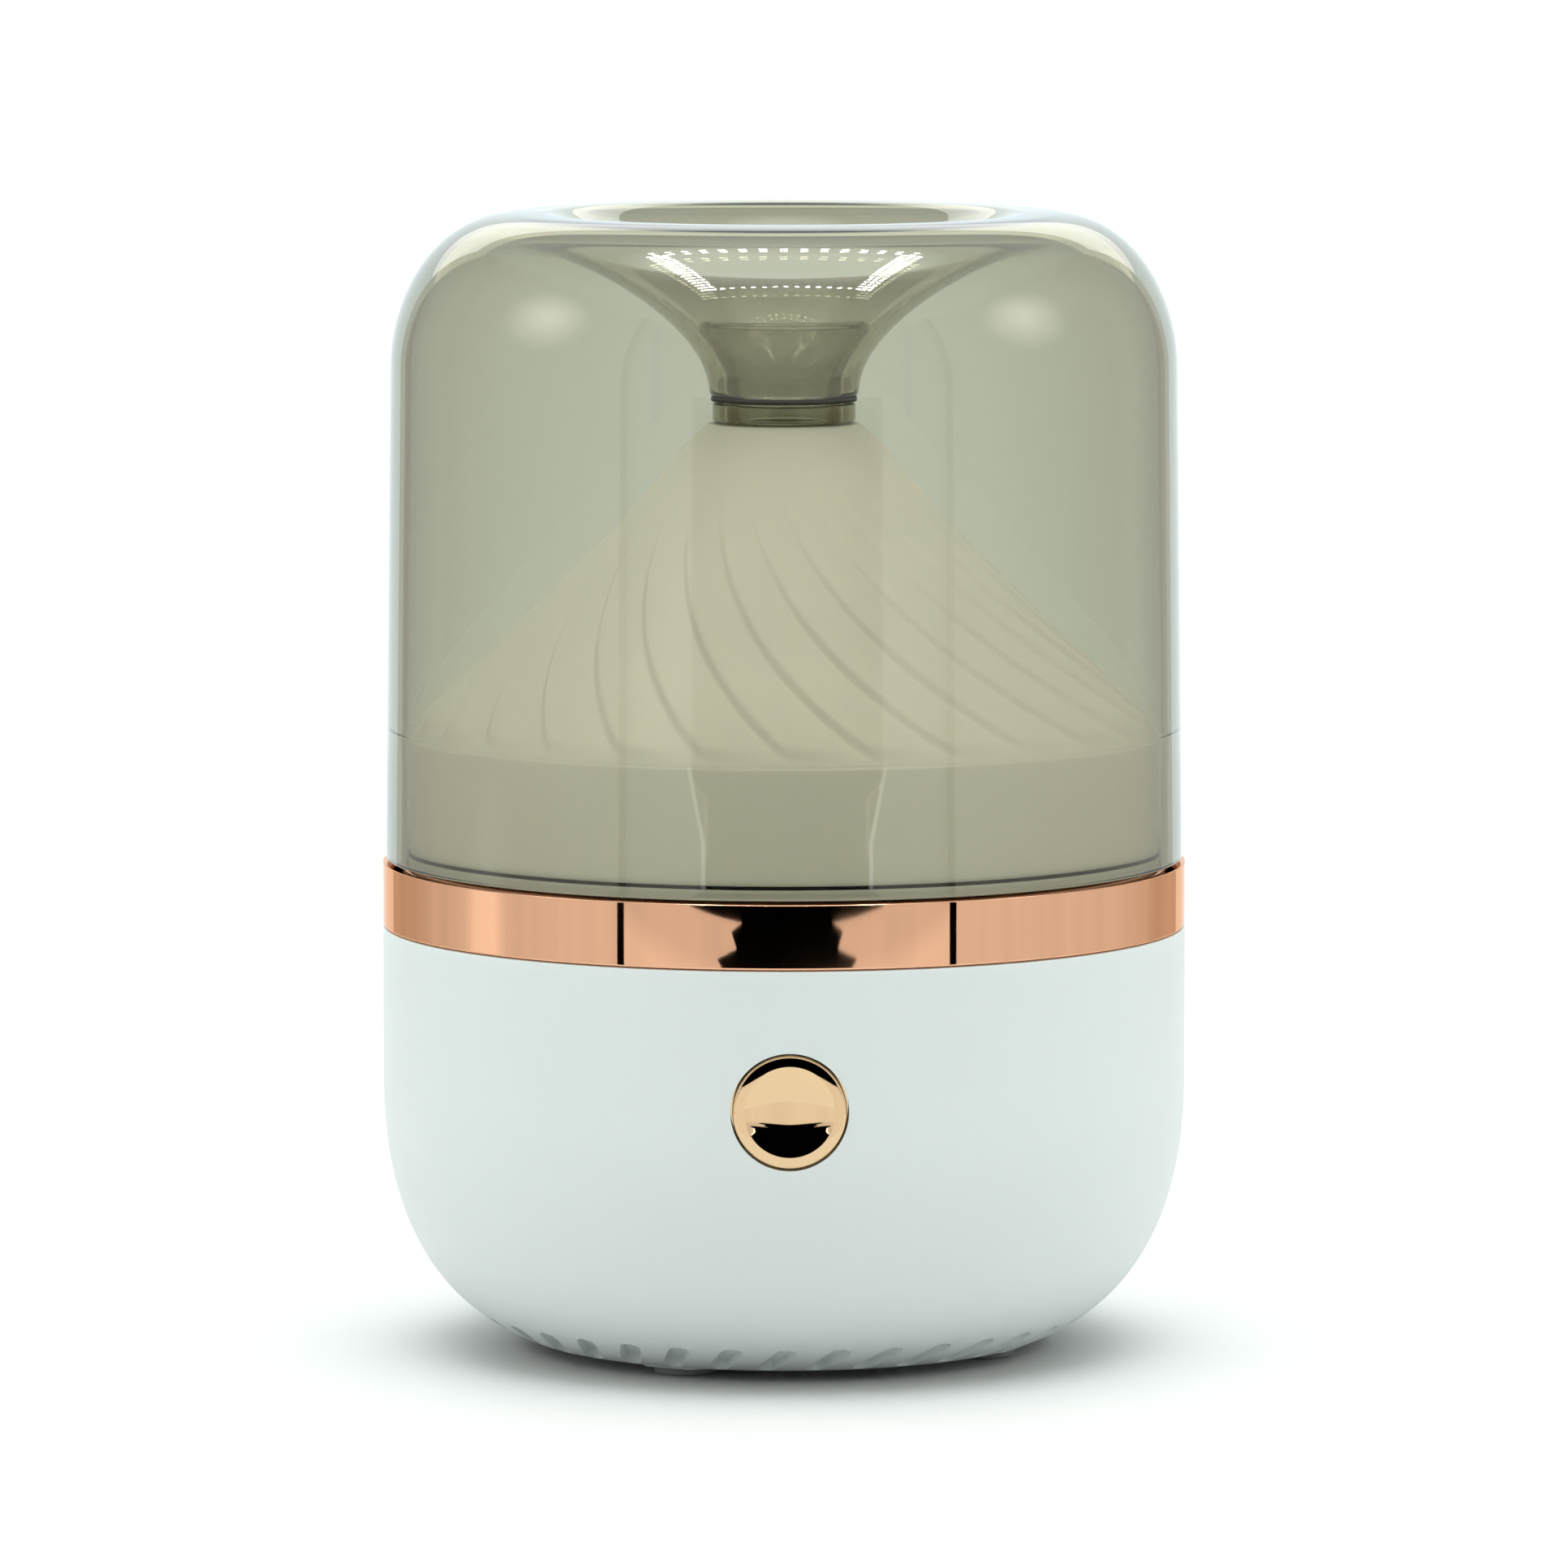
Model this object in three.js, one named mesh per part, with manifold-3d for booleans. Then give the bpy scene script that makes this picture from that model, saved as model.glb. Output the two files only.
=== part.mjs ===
// Tabletop ultrasonic mist diffuser: a round white base with a row of spiral grooves under its
// rounded corner, a gold trim ring, and a smoked cover over a mountain-shaped light shade.
// Millimetres, +Z up, origin on the table under the axis, push button at -Y, power inlet at +Y.
import * as THREE from 'three';
import { mergeVertices } from 'three/addons/utils/BufferGeometryUtils.js';
import Module from 'manifold-3d';

const wasm = await Module();
wasm.setup();

// Driving dimensions.
const TURN_STEPS = 40;
const BODY_R = 45;
const SHELL_WALL = 2.2;
const SHELL_TOP_Z = 47.3;
const CORNER_TOP_Z = 30;
const MOUTH_R = 29;
const EDGE_Z = 1.2;
const GROOVE_COUNT = 36;
const GROOVE_PHASE_DEG = -2.5;
const GROOVE_WIDTH = 2.2;
const GROOVE_LENGTH = 6.4;
const GROOVE_DEPTH = 1;
const GROOVE_MID_R = 32.2;
const GROOVE_MID_Z = 2.55;
const GROOVE_SLOPE_DEG = 27;
const GROOVE_LEAN_DEG = 28.7;
const RING_BOTTOM_Z = 47.6;
const RING_TOP_Z = 54.6;
const RING_INNER_R = 41;
const SPIGOT_R = 42.5;
const SPIGOT_BOTTOM_Z = 43.6;
const TANK_INNER_R = 33.8;
const TANK_OUTER_R = 35.4;
const TANK_BOTTOM_Z = 24;
const TANK_FLOOR = 1.6;
const FLANGE_R = 42.1;
const FLANGE_BOTTOM_Z = 54.9;
const FLANGE_TOP_Z = 55.7;
const ATOMISER_HOLE_R = 8;
const AIR_SLOT_INNER_R = 36.8;
const AIR_SLOT_OUTER_R = 39.6;
const AIR_SLOT_HALF_DEG = 11;
const SEAL_INNER_R = 40.2;
const SEAL_BOTTOM_Z = 55.95;
const SEAL_TOP_Z = 56.25;
const SKIRT_R = 42;
const SKIRT_INNER_R = 40.4;
const SKIRT_BOTTOM_Z = 56.5;
const SKIRT_TOP_Z = 69.2;
const PETALS = 28;
const PETAL_SWEEP_DEG_PER_MM = 1.55;
const PETAL_RISE = 0.38;
const PETAL_EDGE_SHARE = 0.2;
const SHADE_TOP_Z = 103.7;
const SHADE_HOLE_R = 6.6;
const COVER_BOTTOM_Z = 54.9;
const COVER_FOOT_R = 44.65;
const COVER_R = 43.95;
const COVER_STEP_Z = 69.5;
const CREST_Z = 127.1;
const CREST_R = 29.5;
const THROAT_R = 6.75;
const THROAT_BOTTOM_Z = 106.9;
const GASKET_R = 8.15;
const GASKET_BOTTOM_Z = 106.25;
const GASKET_TOP_Z = 106.65;
const COLLAR_R = 8;
const COLLAR_INNER_R = 6.7;
const COLLAR_TOP_Z = 106;
const NOZZLE_BOTTOM_Z = 104;
const NOZZLE_TUBE_R = 6.4;
const NOZZLE_BORE_R = 5.2;
const NOZZLE_TOP_Z = 116.3;
const PLATE_R = 28.7;
const PLATE_BOTTOM_Z = 1.3;
const PLATE_TOP_Z = 3.9;
const FOOT_R = 3.5;
const FOOT_CIRCLE_R = 24.7;
const FOOT_TOP_Z = 2.3;
const FIRST_FOOT_DEG = -27;
const SCREW_CIRCLE_R = 25.2;
const POST_R = 2.6;
const BUTTON_Z = 32;
const BUTTON_R = 6.15;
const BUTTON_HOLE_R = 6.45;
const INLET_Z = 12.3;
const INLET_FACE_Y = 39.3;
const FAN_Y = -5;
const FAN_SIDE = 30;
const FAN_BOTTOM_Z = 4.6;
const FAN_HEIGHT = 7;
const FAN_SCREW_OFFSET = 12.2;
const PIEZO_R = 9.9;
const RETAINER_SCREW_R = 12.2;
const LED_COUNT = 6;
const LED_CIRCLE_R = 18.8;
const BOARD_TOP_Z = 10.3;

const finish = (color, roughness, metalness = 0) =>
  new THREE.MeshStandardMaterial({ color, roughness, metalness });

const WHITE = finish(0xe9ece8, 0.5);
const TANK_WHITE = finish(0xe4e7e3, 0.4);
const SMOKE = finish(0x8f9284, 0.08);
const MILK = finish(0xf1f1ea, 0.45);
const ROSE_GOLD = finish(0xc88c6e, 0.18, 1);
const PALE_GOLD = finish(0xe4c69a, 0.2, 1);
const GREY_RUBBER = finish(0x8d8f8f, 0.85);
const BLACK_RUBBER = finish(0x17181a, 0.8);
const STEEL = finish(0xa9adb0, 0.3, 1);
const BOARD_GREEN = finish(0x1f5a3a, 0.5);
const BLACK_PLASTIC = finish(0x1c1d1f, 0.45);
const BRASS = finish(0xc9a45a, 0.3, 1);
const LED_WHITE = finish(0xf4f0dc, 0.35);
const COPPER = finish(0x8c4a2c, 0.4, 1);
const LEAD_RED = finish(0x9c2a24, 0.6);
const LEAD_BLACK = finish(0x222326, 0.6);

// The moving groups sit inside the whole: the button's own +Z points out at -Y.
const root = new THREE.Group();
root.name = 'mist_diffuser';
const base = new THREE.Group();
const shade = new THREE.Group();
const cover = new THREE.Group();
const button = new THREE.Group();
const fan = new THREE.Group();
root.add(base, shade, cover);
base.add(button, fan);
button.position.z = BUTTON_Z;
button.rotation.x = Math.PI / 2;
fan.position.y = FAN_Y;

const radians = THREE.MathUtils.degToRad;
const point = (r, z) => new THREE.Vector2(r, z);

function add(group, name, geometry, material) {
  const mesh = new THREE.Mesh(geometry, material);
  mesh.name = name;
  group.add(mesh);
  return mesh;
}

// A closed mesh with shared corners: only positions are left, and folded triangles are dropped.
function welded(geometry) {
  const bare = geometry.clone();
  bare.deleteAttribute('normal');
  bare.deleteAttribute('uv');
  const merged = mergeVertices(bare, 1e-4);
  const index = Array.from(merged.index.array);
  const kept = [];
  for (let i = 0; i < index.length; i += 3) {
    const [a, b, c] = index.slice(i, i + 3);
    if (a !== b && b !== c && c !== a) {
      kept.push(a, b, c);
    }
  }
  merged.setIndex(kept);
  return merged;
}

function solid(geometry) {
  const closed = welded(geometry);
  const mesh = new wasm.Mesh({
    numProp: 3,
    vertProperties: new Float32Array(closed.attributes.position.array),
    triVerts: new Uint32Array(closed.index.array),
  });
  return new wasm.Manifold(mesh);
}

function geometryOf(manifold) {
  const mesh = manifold.getMesh();
  const geometry = new THREE.BufferGeometry();
  geometry.setAttribute('position', new THREE.BufferAttribute(mesh.vertProperties, 3));
  geometry.setIndex(new THREE.BufferAttribute(mesh.triVerts, 1));
  return geometry;
}

const joined = (first, ...others) => others.reduce((sum, next) => sum.add(next), first);
const cutBy = (first, ...tools) => tools.reduce((rest, tool) => rest.subtract(tool), first);

// A profile of (r, z) points turned about Z, its first column at -Y. The profile runs
// counter-clockwise, so the faces point outwards.
function turned(profile, steps = TURN_STEPS) {
  const geometry = new THREE.LatheGeometry(profile, steps);
  geometry.rotateX(Math.PI / 2);
  return geometry;
}

const ring = (profile, steps) => turned([...profile, profile[0]], steps);

function cylinder(r, zLow, zHigh, x = 0, y = 0, steps = 12) {
  const geometry = new THREE.CylinderGeometry(r, r, zHigh - zLow, steps);
  geometry.rotateX(Math.PI / 2);
  geometry.translate(x, y, (zLow + zHigh) / 2);
  return geometry;
}

function box(x0, x1, y0, y1, z0, z1) {
  const geometry = new THREE.BoxGeometry(x1 - x0, y1 - y0, z1 - z0);
  geometry.translate((x0 + x1) / 2, (y0 + y1) / 2, (z0 + z1) / 2);
  return geometry;
}

// Position on a circle, its angle measured from the front (-Y) towards +X.
const onCircle = (r, degrees) => [r * Math.sin(radians(degrees)), -r * Math.cos(radians(degrees))];

function bend(p0, p1, p2, p3, steps) {
  const curve = new THREE.CubicBezierCurve(point(...p0), point(...p1), point(...p2), point(...p3));
  return curve.getPoints(steps);
}

function stadium(length, width, endSteps) {
  const shape = new THREE.Shape();
  const half = (length - width) / 2;
  for (let i = 0; i <= endSteps; i += 1) {
    const angle = (Math.PI * i) / endSteps;
    shape.lineTo((width / 2) * Math.cos(angle), half + (width / 2) * Math.sin(angle));
  }
  for (let i = 0; i <= endSteps; i += 1) {
    const angle = Math.PI + (Math.PI * i) / endSteps;
    shape.lineTo((width / 2) * Math.cos(angle), -half + (width / 2) * Math.sin(angle));
  }
  shape.curves.shift();
  return shape;
}

function extruded(shape, depth, curveSegments = 6) {
  return new THREE.ExtrudeGeometry(shape, { depth, bevelEnabled: false, steps: 1, curveSegments });
}

// A ring sector centred on +Y.
function sector(innerR, outerR, halfDegrees) {
  const from = radians(90 - halfDegrees);
  const to = radians(90 + halfDegrees);
  const shape = new THREE.Shape();
  shape.absarc(0, 0, outerR, from, to, false);
  shape.absarc(0, 0, innerR, to, from, true);
  return shape;
}

function lead(points, r, steps) {
  const section = new THREE.Shape();
  for (let i = 0; i < 6; i += 1) {
    const angle = (Math.PI * i) / 3;
    section.lineTo(r * Math.cos(angle), r * Math.sin(angle));
  }
  section.curves.shift();
  const extrudePath = new THREE.CatmullRomCurve3(points.map((p) => new THREE.Vector3(...p)));
  return new THREE.ExtrudeGeometry(section, { steps, bevelEnabled: false, extrudePath });
}

// White shell: upright wall, large rounded bottom corner, open top and a round mouth underneath.
const outerCorner = () =>
  bend([BODY_R, CORNER_TOP_Z], [BODY_R, 18], [41.5, 6], [MOUTH_R + 0.3, EDGE_Z], 8);

function shellBlank() {
  const innerR = BODY_R - SHELL_WALL;
  const inner = bend([innerR, CORNER_TOP_Z], [innerR, 18.6], [39.9, 7.9], [MOUTH_R, 3.5], 6);
  return ring([
    point(MOUTH_R, EDGE_Z),
    ...outerCorner().reverse(),
    point(BODY_R, SHELL_TOP_Z),
    point(innerR, SHELL_TOP_Z),
    ...inner,
  ]);
}

function grooveCutter(degrees) {
  const geometry = extruded(stadium(GROOVE_LENGTH, GROOVE_WIDTH, 2), 3);
  geometry.rotateZ(-radians(GROOVE_LEAN_DEG));
  geometry.translate(0, 0, -GROOVE_DEPTH);
  const slope = radians(GROOVE_SLOPE_DEG);
  const across = new THREE.Vector3(1, 0, 0);
  const up = new THREE.Vector3(0, -Math.cos(slope), Math.sin(slope));
  const out = new THREE.Vector3(0, -Math.sin(slope), -Math.cos(slope));
  geometry.applyMatrix4(new THREE.Matrix4().makeBasis(across, up, out));
  geometry.translate(0, -GROOVE_MID_R, GROOVE_MID_Z);
  geometry.rotateZ(radians(degrees));
  return solid(geometry);
}

function inletBoss() {
  const block = solid(box(-8, 8, 36.2, 46, 7.6, 17));
  const inside = solid(turned([point(0, EDGE_Z), ...outerCorner().reverse(), point(0, CORNER_TOP_Z)]));
  return block.intersect(inside);
}

function inletSlot() {
  const geometry = extruded(stadium(9.6, 3.9, 4), 12);
  geometry.rotateZ(Math.PI / 2);
  geometry.rotateX(-Math.PI / 2);
  geometry.translate(0, 34, INLET_Z);
  return solid(geometry);
}

function bodyShell() {
  const buttonHole = new THREE.CylinderGeometry(BUTTON_HOLE_R, BUTTON_HOLE_R, 10, 24);
  buttonHole.translate(0, -43, BUTTON_Z);
  const recess = solid(box(-6.3, 6.3, INLET_FACE_Y, 50, 6, 16.3));
  const body = joined(solid(shellBlank()), inletBoss());
  const grooves = [];
  for (let i = 0; i < GROOVE_COUNT; i += 1) {
    grooves.push(grooveCutter(GROOVE_PHASE_DEG + (360 / GROOVE_COUNT) * i));
  }
  return geometryOf(cutBy(body, solid(buttonHole), recess, inletSlot(), ...grooves));
}

// Underside plate with foot pockets, screw holes, an air grille under the fan and fan standoffs.
const footAngles = [0, 1, 2, 3].map((i) => FIRST_FOOT_DEG + 90 * i);
const screwAngles = footAngles.map((degrees) => degrees + 45);
const fanCorners = [1, -1].map((side) => [FAN_SCREW_OFFSET * side, FAN_SCREW_OFFSET * side]);

function basePlate() {
  const disc = ring([
    point(0, PLATE_BOTTOM_Z),
    point(PLATE_R, PLATE_BOTTOM_Z),
    point(PLATE_R, PLATE_TOP_Z),
    point(0, PLATE_TOP_Z),
  ]);
  let plate = solid(disc);
  const clip = solid(cylinder(PLATE_R - 0.05, 0.2, 4.5, 0, 0, TURN_STEPS));
  for (const degrees of footAngles) {
    const [x, y] = onCircle(FOOT_CIRCLE_R, degrees);
    plate = plate.add(solid(cylinder(4.9, 0.9, 2, x, y, 20)).intersect(clip));
    plate = plate.subtract(solid(cylinder(FOOT_R + 0.25, 0, FOOT_TOP_Z + 0.3, x, y, 16)));
  }
  for (const degrees of screwAngles) {
    const [x, y] = onCircle(SCREW_CIRCLE_R, degrees);
    plate = cutBy(plate, solid(cylinder(1.3, 0, 5, x, y, 10)), solid(cylinder(2.7, 0, 2.9, x, y)));
  }
  for (const [x, y] of fanCorners) {
    plate = plate.add(solid(cylinder(2.5, 3, 4.3, x, FAN_Y + y)));
    plate = plate.subtract(solid(cylinder(1.4, 2.2, 5, x, FAN_Y + y, 10)));
  }
  for (let i = -2; i <= 2; i += 1) {
    const y = FAN_Y + 4 * i;
    plate = plate.subtract(solid(box(-9.5, 9.5, y - 1, y + 1, 0, 5)));
  }
  return geometryOf(plate);
}

function baseScrew() {
  return turned([
    point(0, 1.5), point(2.2, 1.5), point(2.4, 1.8), point(2.4, 2.6),
    point(0.95, 2.6), point(0.95, 9.2), point(0, 9.8),
  ], 10);
}

// Gold trim ring with softened edges and a spigot that drops inside the shell.
function trimRing() {
  return ring([
    point(RING_INNER_R, SPIGOT_BOTTOM_Z),
    point(SPIGOT_R, SPIGOT_BOTTOM_Z),
    point(SPIGOT_R, RING_BOTTOM_Z),
    point(BODY_R - 0.45, RING_BOTTOM_Z),
    point(BODY_R, RING_BOTTOM_Z + 0.45),
    point(BODY_R, RING_TOP_Z - 0.45),
    point(BODY_R - 0.45, RING_TOP_Z),
    point(RING_INNER_R, RING_TOP_Z),
  ]);
}

// Water tank: round tub hung by its flange, atomiser hole in the floor, screw posts underneath.
const retainerAngles = [60, 180, 300];

function waterTank() {
  const floorTop = TANK_BOTTOM_Z + TANK_FLOOR;
  let tank = solid(ring([
    point(ATOMISER_HOLE_R, TANK_BOTTOM_Z),
    point(TANK_OUTER_R, TANK_BOTTOM_Z),
    point(TANK_OUTER_R, FLANGE_BOTTOM_Z),
    point(FLANGE_R, FLANGE_BOTTOM_Z),
    point(FLANGE_R, FLANGE_TOP_Z),
    point(TANK_INNER_R, FLANGE_TOP_Z),
    point(TANK_INNER_R, floorTop + 1.6),
    point(TANK_INNER_R - 1.6, floorTop),
    point(ATOMISER_HOLE_R, floorTop),
  ]));
  for (const degrees of screwAngles) {
    const [x, y] = onCircle(SCREW_CIRCLE_R, degrees);
    tank = tank.add(solid(cylinder(POST_R, PLATE_TOP_Z + 0.3, TANK_BOTTOM_Z + 0.5, x, y)));
    tank = tank.subtract(solid(cylinder(1.3, 3, 10.5, x, y, 10)));
  }
  for (const degrees of retainerAngles) {
    const [x, y] = onCircle(RETAINER_SCREW_R, degrees);
    tank = tank.add(solid(cylinder(1.9, 22, TANK_BOTTOM_Z + 0.5, x, y, 10)));
    tank = tank.subtract(solid(cylinder(1.1, 21, 25, x, y, 8)));
  }
  const airSlot = extruded(sector(AIR_SLOT_INNER_R, AIR_SLOT_OUTER_R, AIR_SLOT_HALF_DEG), 4);
  airSlot.translate(0, 0, 53.5);
  return geometryOf(tank.subtract(solid(airSlot)));
}

function airDuct() {
  const shape = sector(AIR_SLOT_INNER_R - 0.9, AIR_SLOT_OUTER_R + 0.9, AIR_SLOT_HALF_DEG + 2);
  shape.holes.push(sector(AIR_SLOT_INNER_R, AIR_SLOT_OUTER_R, AIR_SLOT_HALF_DEG));
  const geometry = extruded(shape, 28.6);
  geometry.translate(0, 0, 26);
  return geometry;
}

function shadeSeal() {
  return ring([
    point(SEAL_INNER_R, SEAL_BOTTOM_Z), point(FLANGE_R, SEAL_BOTTOM_Z),
    point(FLANGE_R, SEAL_TOP_Z), point(SEAL_INNER_R, SEAL_TOP_Z),
  ]);
}

// Mountain shade: upright skirt and a hollow cone whose outer face carries swept petals, each
// rising quickly from the valley on its front-left edge and falling slowly to the next valley.
const SHADE_OUTER = [
  [SKIRT_R, SKIRT_BOTTOM_Z, 0], [SKIRT_R, SKIRT_TOP_Z, 0], [41.2, 70.3, 0.5], [37.5, 73.7, 1],
  [33, 77.9, 1], [28.4, 82.4, 1], [23.3, 87.6, 1], [18.3, 92.8, 0.8], [14.5, 97.2, 0.4],
  [11.2, 101.1, 0], [8.5, SHADE_TOP_Z, 0],
];
const SHADE_INNER = [
  [SHADE_HOLE_R, SHADE_TOP_Z, 0], [SHADE_HOLE_R, 103.1, 0], [10.1, 99.9, 0], [17.2, 91.6, 0],
  [22.2, 86.4, 0], [27.2, 81.2, 0], [33.8, 74.7, 0], [SKIRT_INNER_R, 68.3, 0],
  [SKIRT_INNER_R, SKIRT_BOTTOM_Z, 0],
];

function mountainShade() {
  const rows = [...SHADE_OUTER, ...SHADE_INNER, SHADE_OUTER[0]];
  const columns = PETALS * 2;
  const geometry = new THREE.LatheGeometry(rows.map(([r, z]) => point(r, z)), columns);
  const position = geometry.attributes.position;
  for (let i = 0; i <= columns; i += 1) {
    for (let j = 0; j < rows.length; j += 1) {
      const [r, z, share] = rows[j];
      const side = i % 2 === 0 ? -1 : 1;
      const lift = side * share * PETAL_RISE;
      const sweep = radians(Math.min(r - SKIRT_INNER_R, 0) * PETAL_SWEEP_DEG_PER_MM);
      const edge = i % 2 === 0 ? PETAL_EDGE_SHARE : 0;
      const angle = ((2 * Math.PI) / PETALS) * (Math.floor(i / 2) + edge) + sweep;
      const lifted = r + lift * 0.7;
      position.setXYZ(
        i * rows.length + j, lifted * Math.sin(angle), z + lift * 0.7, lifted * Math.cos(angle));
    }
  }
  geometry.rotateX(Math.PI / 2);
  return geometryOf(solid(geometry));
}

// Smoked cover: tapered wall, rounded shoulder, flat crest and a funnel down to the throat.
function smokedCover() {
  const shoulder = bend([COVER_R, 110], [COVER_R, 116.5], [40, CREST_Z], [CREST_R, CREST_Z], 6);
  const funnelTop = bend([26.5, CREST_Z], [21.5, 126.6], [8.6, 115.5], [THROAT_R, 108.5], 6);
  const funnelUnder = bend([8.3, THROAT_BOTTOM_Z], [9, 115], [23.5, 124.5], [28, 124.9], 5);
  const innerShoulder = bend([31, 125.1], [38.6, 124.8], [41.8, 116], [41.8, 109.5], 4);
  return ring([
    point(42.5, COVER_BOTTOM_Z),
    point(COVER_FOOT_R, COVER_BOTTOM_Z),
    point(COVER_FOOT_R, COVER_BOTTOM_Z + 2),
    ...shoulder,
    ...funnelTop,
    point(THROAT_R, THROAT_BOTTOM_Z),
    ...funnelUnder,
    ...innerShoulder,
    point(42, COVER_STEP_Z),
    point(42.4, COVER_STEP_Z),
  ]);
}

// Nozzle cup: a straight tube through the throat that swells into a barrel-shaped bowl.
function mistNozzle() {
  return ring([
    point(NOZZLE_BORE_R, NOZZLE_BOTTOM_Z), point(NOZZLE_TUBE_R, NOZZLE_BOTTOM_Z),
    point(NOZZLE_TUBE_R, 108.8), point(7.25, 110.7), point(8.7, 113.05), point(9.6, 114.6),
    point(9.5, 115.5), point(8.8, NOZZLE_TOP_Z), point(7.9, NOZZLE_TOP_Z),
    point(8.5, 115.3), point(8.5, 114.7), point(7.7, 113.2), point(6.25, 111), point(NOZZLE_BORE_R, 108.8),
  ], 32);
}

const flatRing = (innerR, outerR, zLow, zHigh, steps) => ring([
  point(innerR, zLow), point(outerR, zLow), point(outerR, zHigh), point(innerR, zHigh),
], steps);

// Dished push button, turned about its own axis and pointed at -Y.
function buttonCap() {
  return turned([
    point(0, 39.3), point(2, 39.3), point(2, 40.6), point(8.2, 40.6), point(8.2, 41.6),
    point(BUTTON_R, 41.6), point(BUTTON_R, 44.4), point(5.95, 44.72), point(5, 44.9),
    point(4.85, 44.87), point(3.6, 44.55), point(2.4, 44.35), point(0, 44.21),
  ], 20);
}

function alongY(r, yLow, yHigh, z, steps) {
  const geometry = new THREE.CylinderGeometry(r, r, yHigh - yLow, steps);
  geometry.translate(0, (yLow + yHigh) / 2, z);
  return geometry;
}

function switchHousing() {
  const block = solid(box(-3, 3, -38, -36.8, BUTTON_Z - 3, BUTTON_Z + 3));
  return geometryOf(block.subtract(solid(alongY(2, -39, -37.1, BUTTON_Z, 12))));
}

function inletSleeve() {
  const shape = stadium(8.94, 3.26, 4);
  shape.holes.push(stadium(8.34, 2.66, 4));
  const geometry = extruded(shape, 7);
  geometry.rotateZ(Math.PI / 2);
  geometry.rotateX(-Math.PI / 2);
  geometry.translate(0, 32, INLET_Z);
  return geometry;
}

function inletTongue() {
  const block = solid(box(-3.7, 3.7, 32.3, 33.9, INLET_Z - 0.95, INLET_Z + 0.95));
  const blade = solid(box(-3.3, 3.3, 33.6, 38.2, INLET_Z - 0.35, INLET_Z + 0.35));
  return geometryOf(block.add(blade));
}

function mainBoard() {
  const [x, y] = onCircle(SCREW_CIRCLE_R, screwAngles[2]);
  const board = solid(box(-12, 12, 13, 33.5, BOARD_TOP_Z - 1.2, BOARD_TOP_Z));
  return geometryOf(board.subtract(solid(cylinder(POST_R + 0.4, 8, 12, x, y))));
}

function piezoRetainer() {
  let plate = solid(ring([point(7, 20.2), point(14.2, 20.2), point(14.2, 21.7), point(7, 21.7)], 24));
  for (const degrees of retainerAngles) {
    const [x, y] = onCircle(RETAINER_SCREW_R, degrees);
    plate = plate.subtract(solid(cylinder(1.1, 19, 23, x, y, 8)));
  }
  return geometryOf(plate);
}

function retainerScrew() {
  return turned([
    point(0, 18.7), point(1.7, 18.7), point(1.7, 19.9), point(0.8, 19.9), point(0.8, 24.6),
    point(0, 24.6),
  ], 8);
}

// Axial fan: square frame with a strutted hub plate, and a bladed rotor that spins in it.
function fanFrame() {
  const half = FAN_SIDE / 2;
  const top = FAN_BOTTOM_Z + FAN_HEIGHT;
  let frame = solid(box(-half, half, -half, half, FAN_BOTTOM_Z, top));
  frame = frame.subtract(solid(cylinder(13.4, 0, 20, 0, 0, 28)));
  frame = frame.add(solid(cylinder(6.8, FAN_BOTTOM_Z, FAN_BOTTOM_Z + 0.8, 0, 0, 14)));
  for (const degrees of [30, 150, 270]) {
    const strut = box(5, 14, -0.8, 0.8, FAN_BOTTOM_Z, FAN_BOTTOM_Z + 0.8);
    strut.rotateZ(radians(degrees));
    frame = frame.add(solid(strut));
  }
  for (const side of [-1, 1]) {
    const at = FAN_SCREW_OFFSET * side;
    frame = frame.subtract(solid(cylinder(1.5, 0, 20, at, at, 10)));
  }
  return geometryOf(frame);
}

function fanRotor() {
  let rotor = solid(cylinder(6.5, 5.8, 11.2, 0, 0, 14));
  for (let i = 0; i < 7; i += 1) {
    const blade = new THREE.BoxGeometry(7, 5.2, 0.8);
    blade.rotateX(radians(50));
    blade.translate(9.3, 0, 8.5);
    blade.rotateZ((2 * Math.PI * i) / 7);
    rotor = rotor.add(solid(blade));
  }
  return geometryOf(rotor);
}

function fanScrew() {
  return turned([
    point(0, 2.6), point(1, 2.6), point(1, 11.9), point(2, 11.9), point(2, 13), point(0, 13),
  ], 8);
}

// One mesh for each copy of a repeated piece, spread round a circle.
function addRound(group, name, geometry, material, r, angles) {
  angles.forEach((degrees, i) => {
    const copy = add(group, `${name}_${i + 1}`, geometry, material);
    const [x, y] = onCircle(r, degrees);
    copy.position.set(x, y, 0);
    copy.rotation.z = radians(degrees);
  });
}

// Base and trim.
add(base, 'body_shell', bodyShell(), WHITE);
add(base, 'base_plate', basePlate(), WHITE);
add(base, 'trim_ring', trimRing(), ROSE_GOLD);
add(base, 'water_tank', waterTank(), TANK_WHITE);
add(base, 'air_duct', airDuct(), TANK_WHITE);
add(base, 'shade_seal', shadeSeal(), BLACK_RUBBER);
const foot = cylinder(FOOT_R, 0, FOOT_TOP_Z, 0, 0, 16);
addRound(base, 'foot', foot, GREY_RUBBER, FOOT_CIRCLE_R, footAngles);
addRound(base, 'base_screw', baseScrew(), STEEL, SCREW_CIRCLE_R, screwAngles);

// Light shade and lift-off cover.
add(shade, 'mountain_shade', mountainShade(), MILK);
add(cover, 'smoked_cover', smokedCover(), SMOKE);
add(cover, 'mist_nozzle', mistNozzle(), SMOKE);
const gasket = flatRing(COLLAR_INNER_R, GASKET_R, GASKET_BOTTOM_Z, GASKET_TOP_Z, 32);
add(cover, 'nozzle_gasket', gasket, BLACK_RUBBER);
const collar = flatRing(COLLAR_INNER_R, COLLAR_R, NOZZLE_BOTTOM_Z, COLLAR_TOP_Z, 32);
add(cover, 'nozzle_collar', collar, SMOKE);

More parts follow.
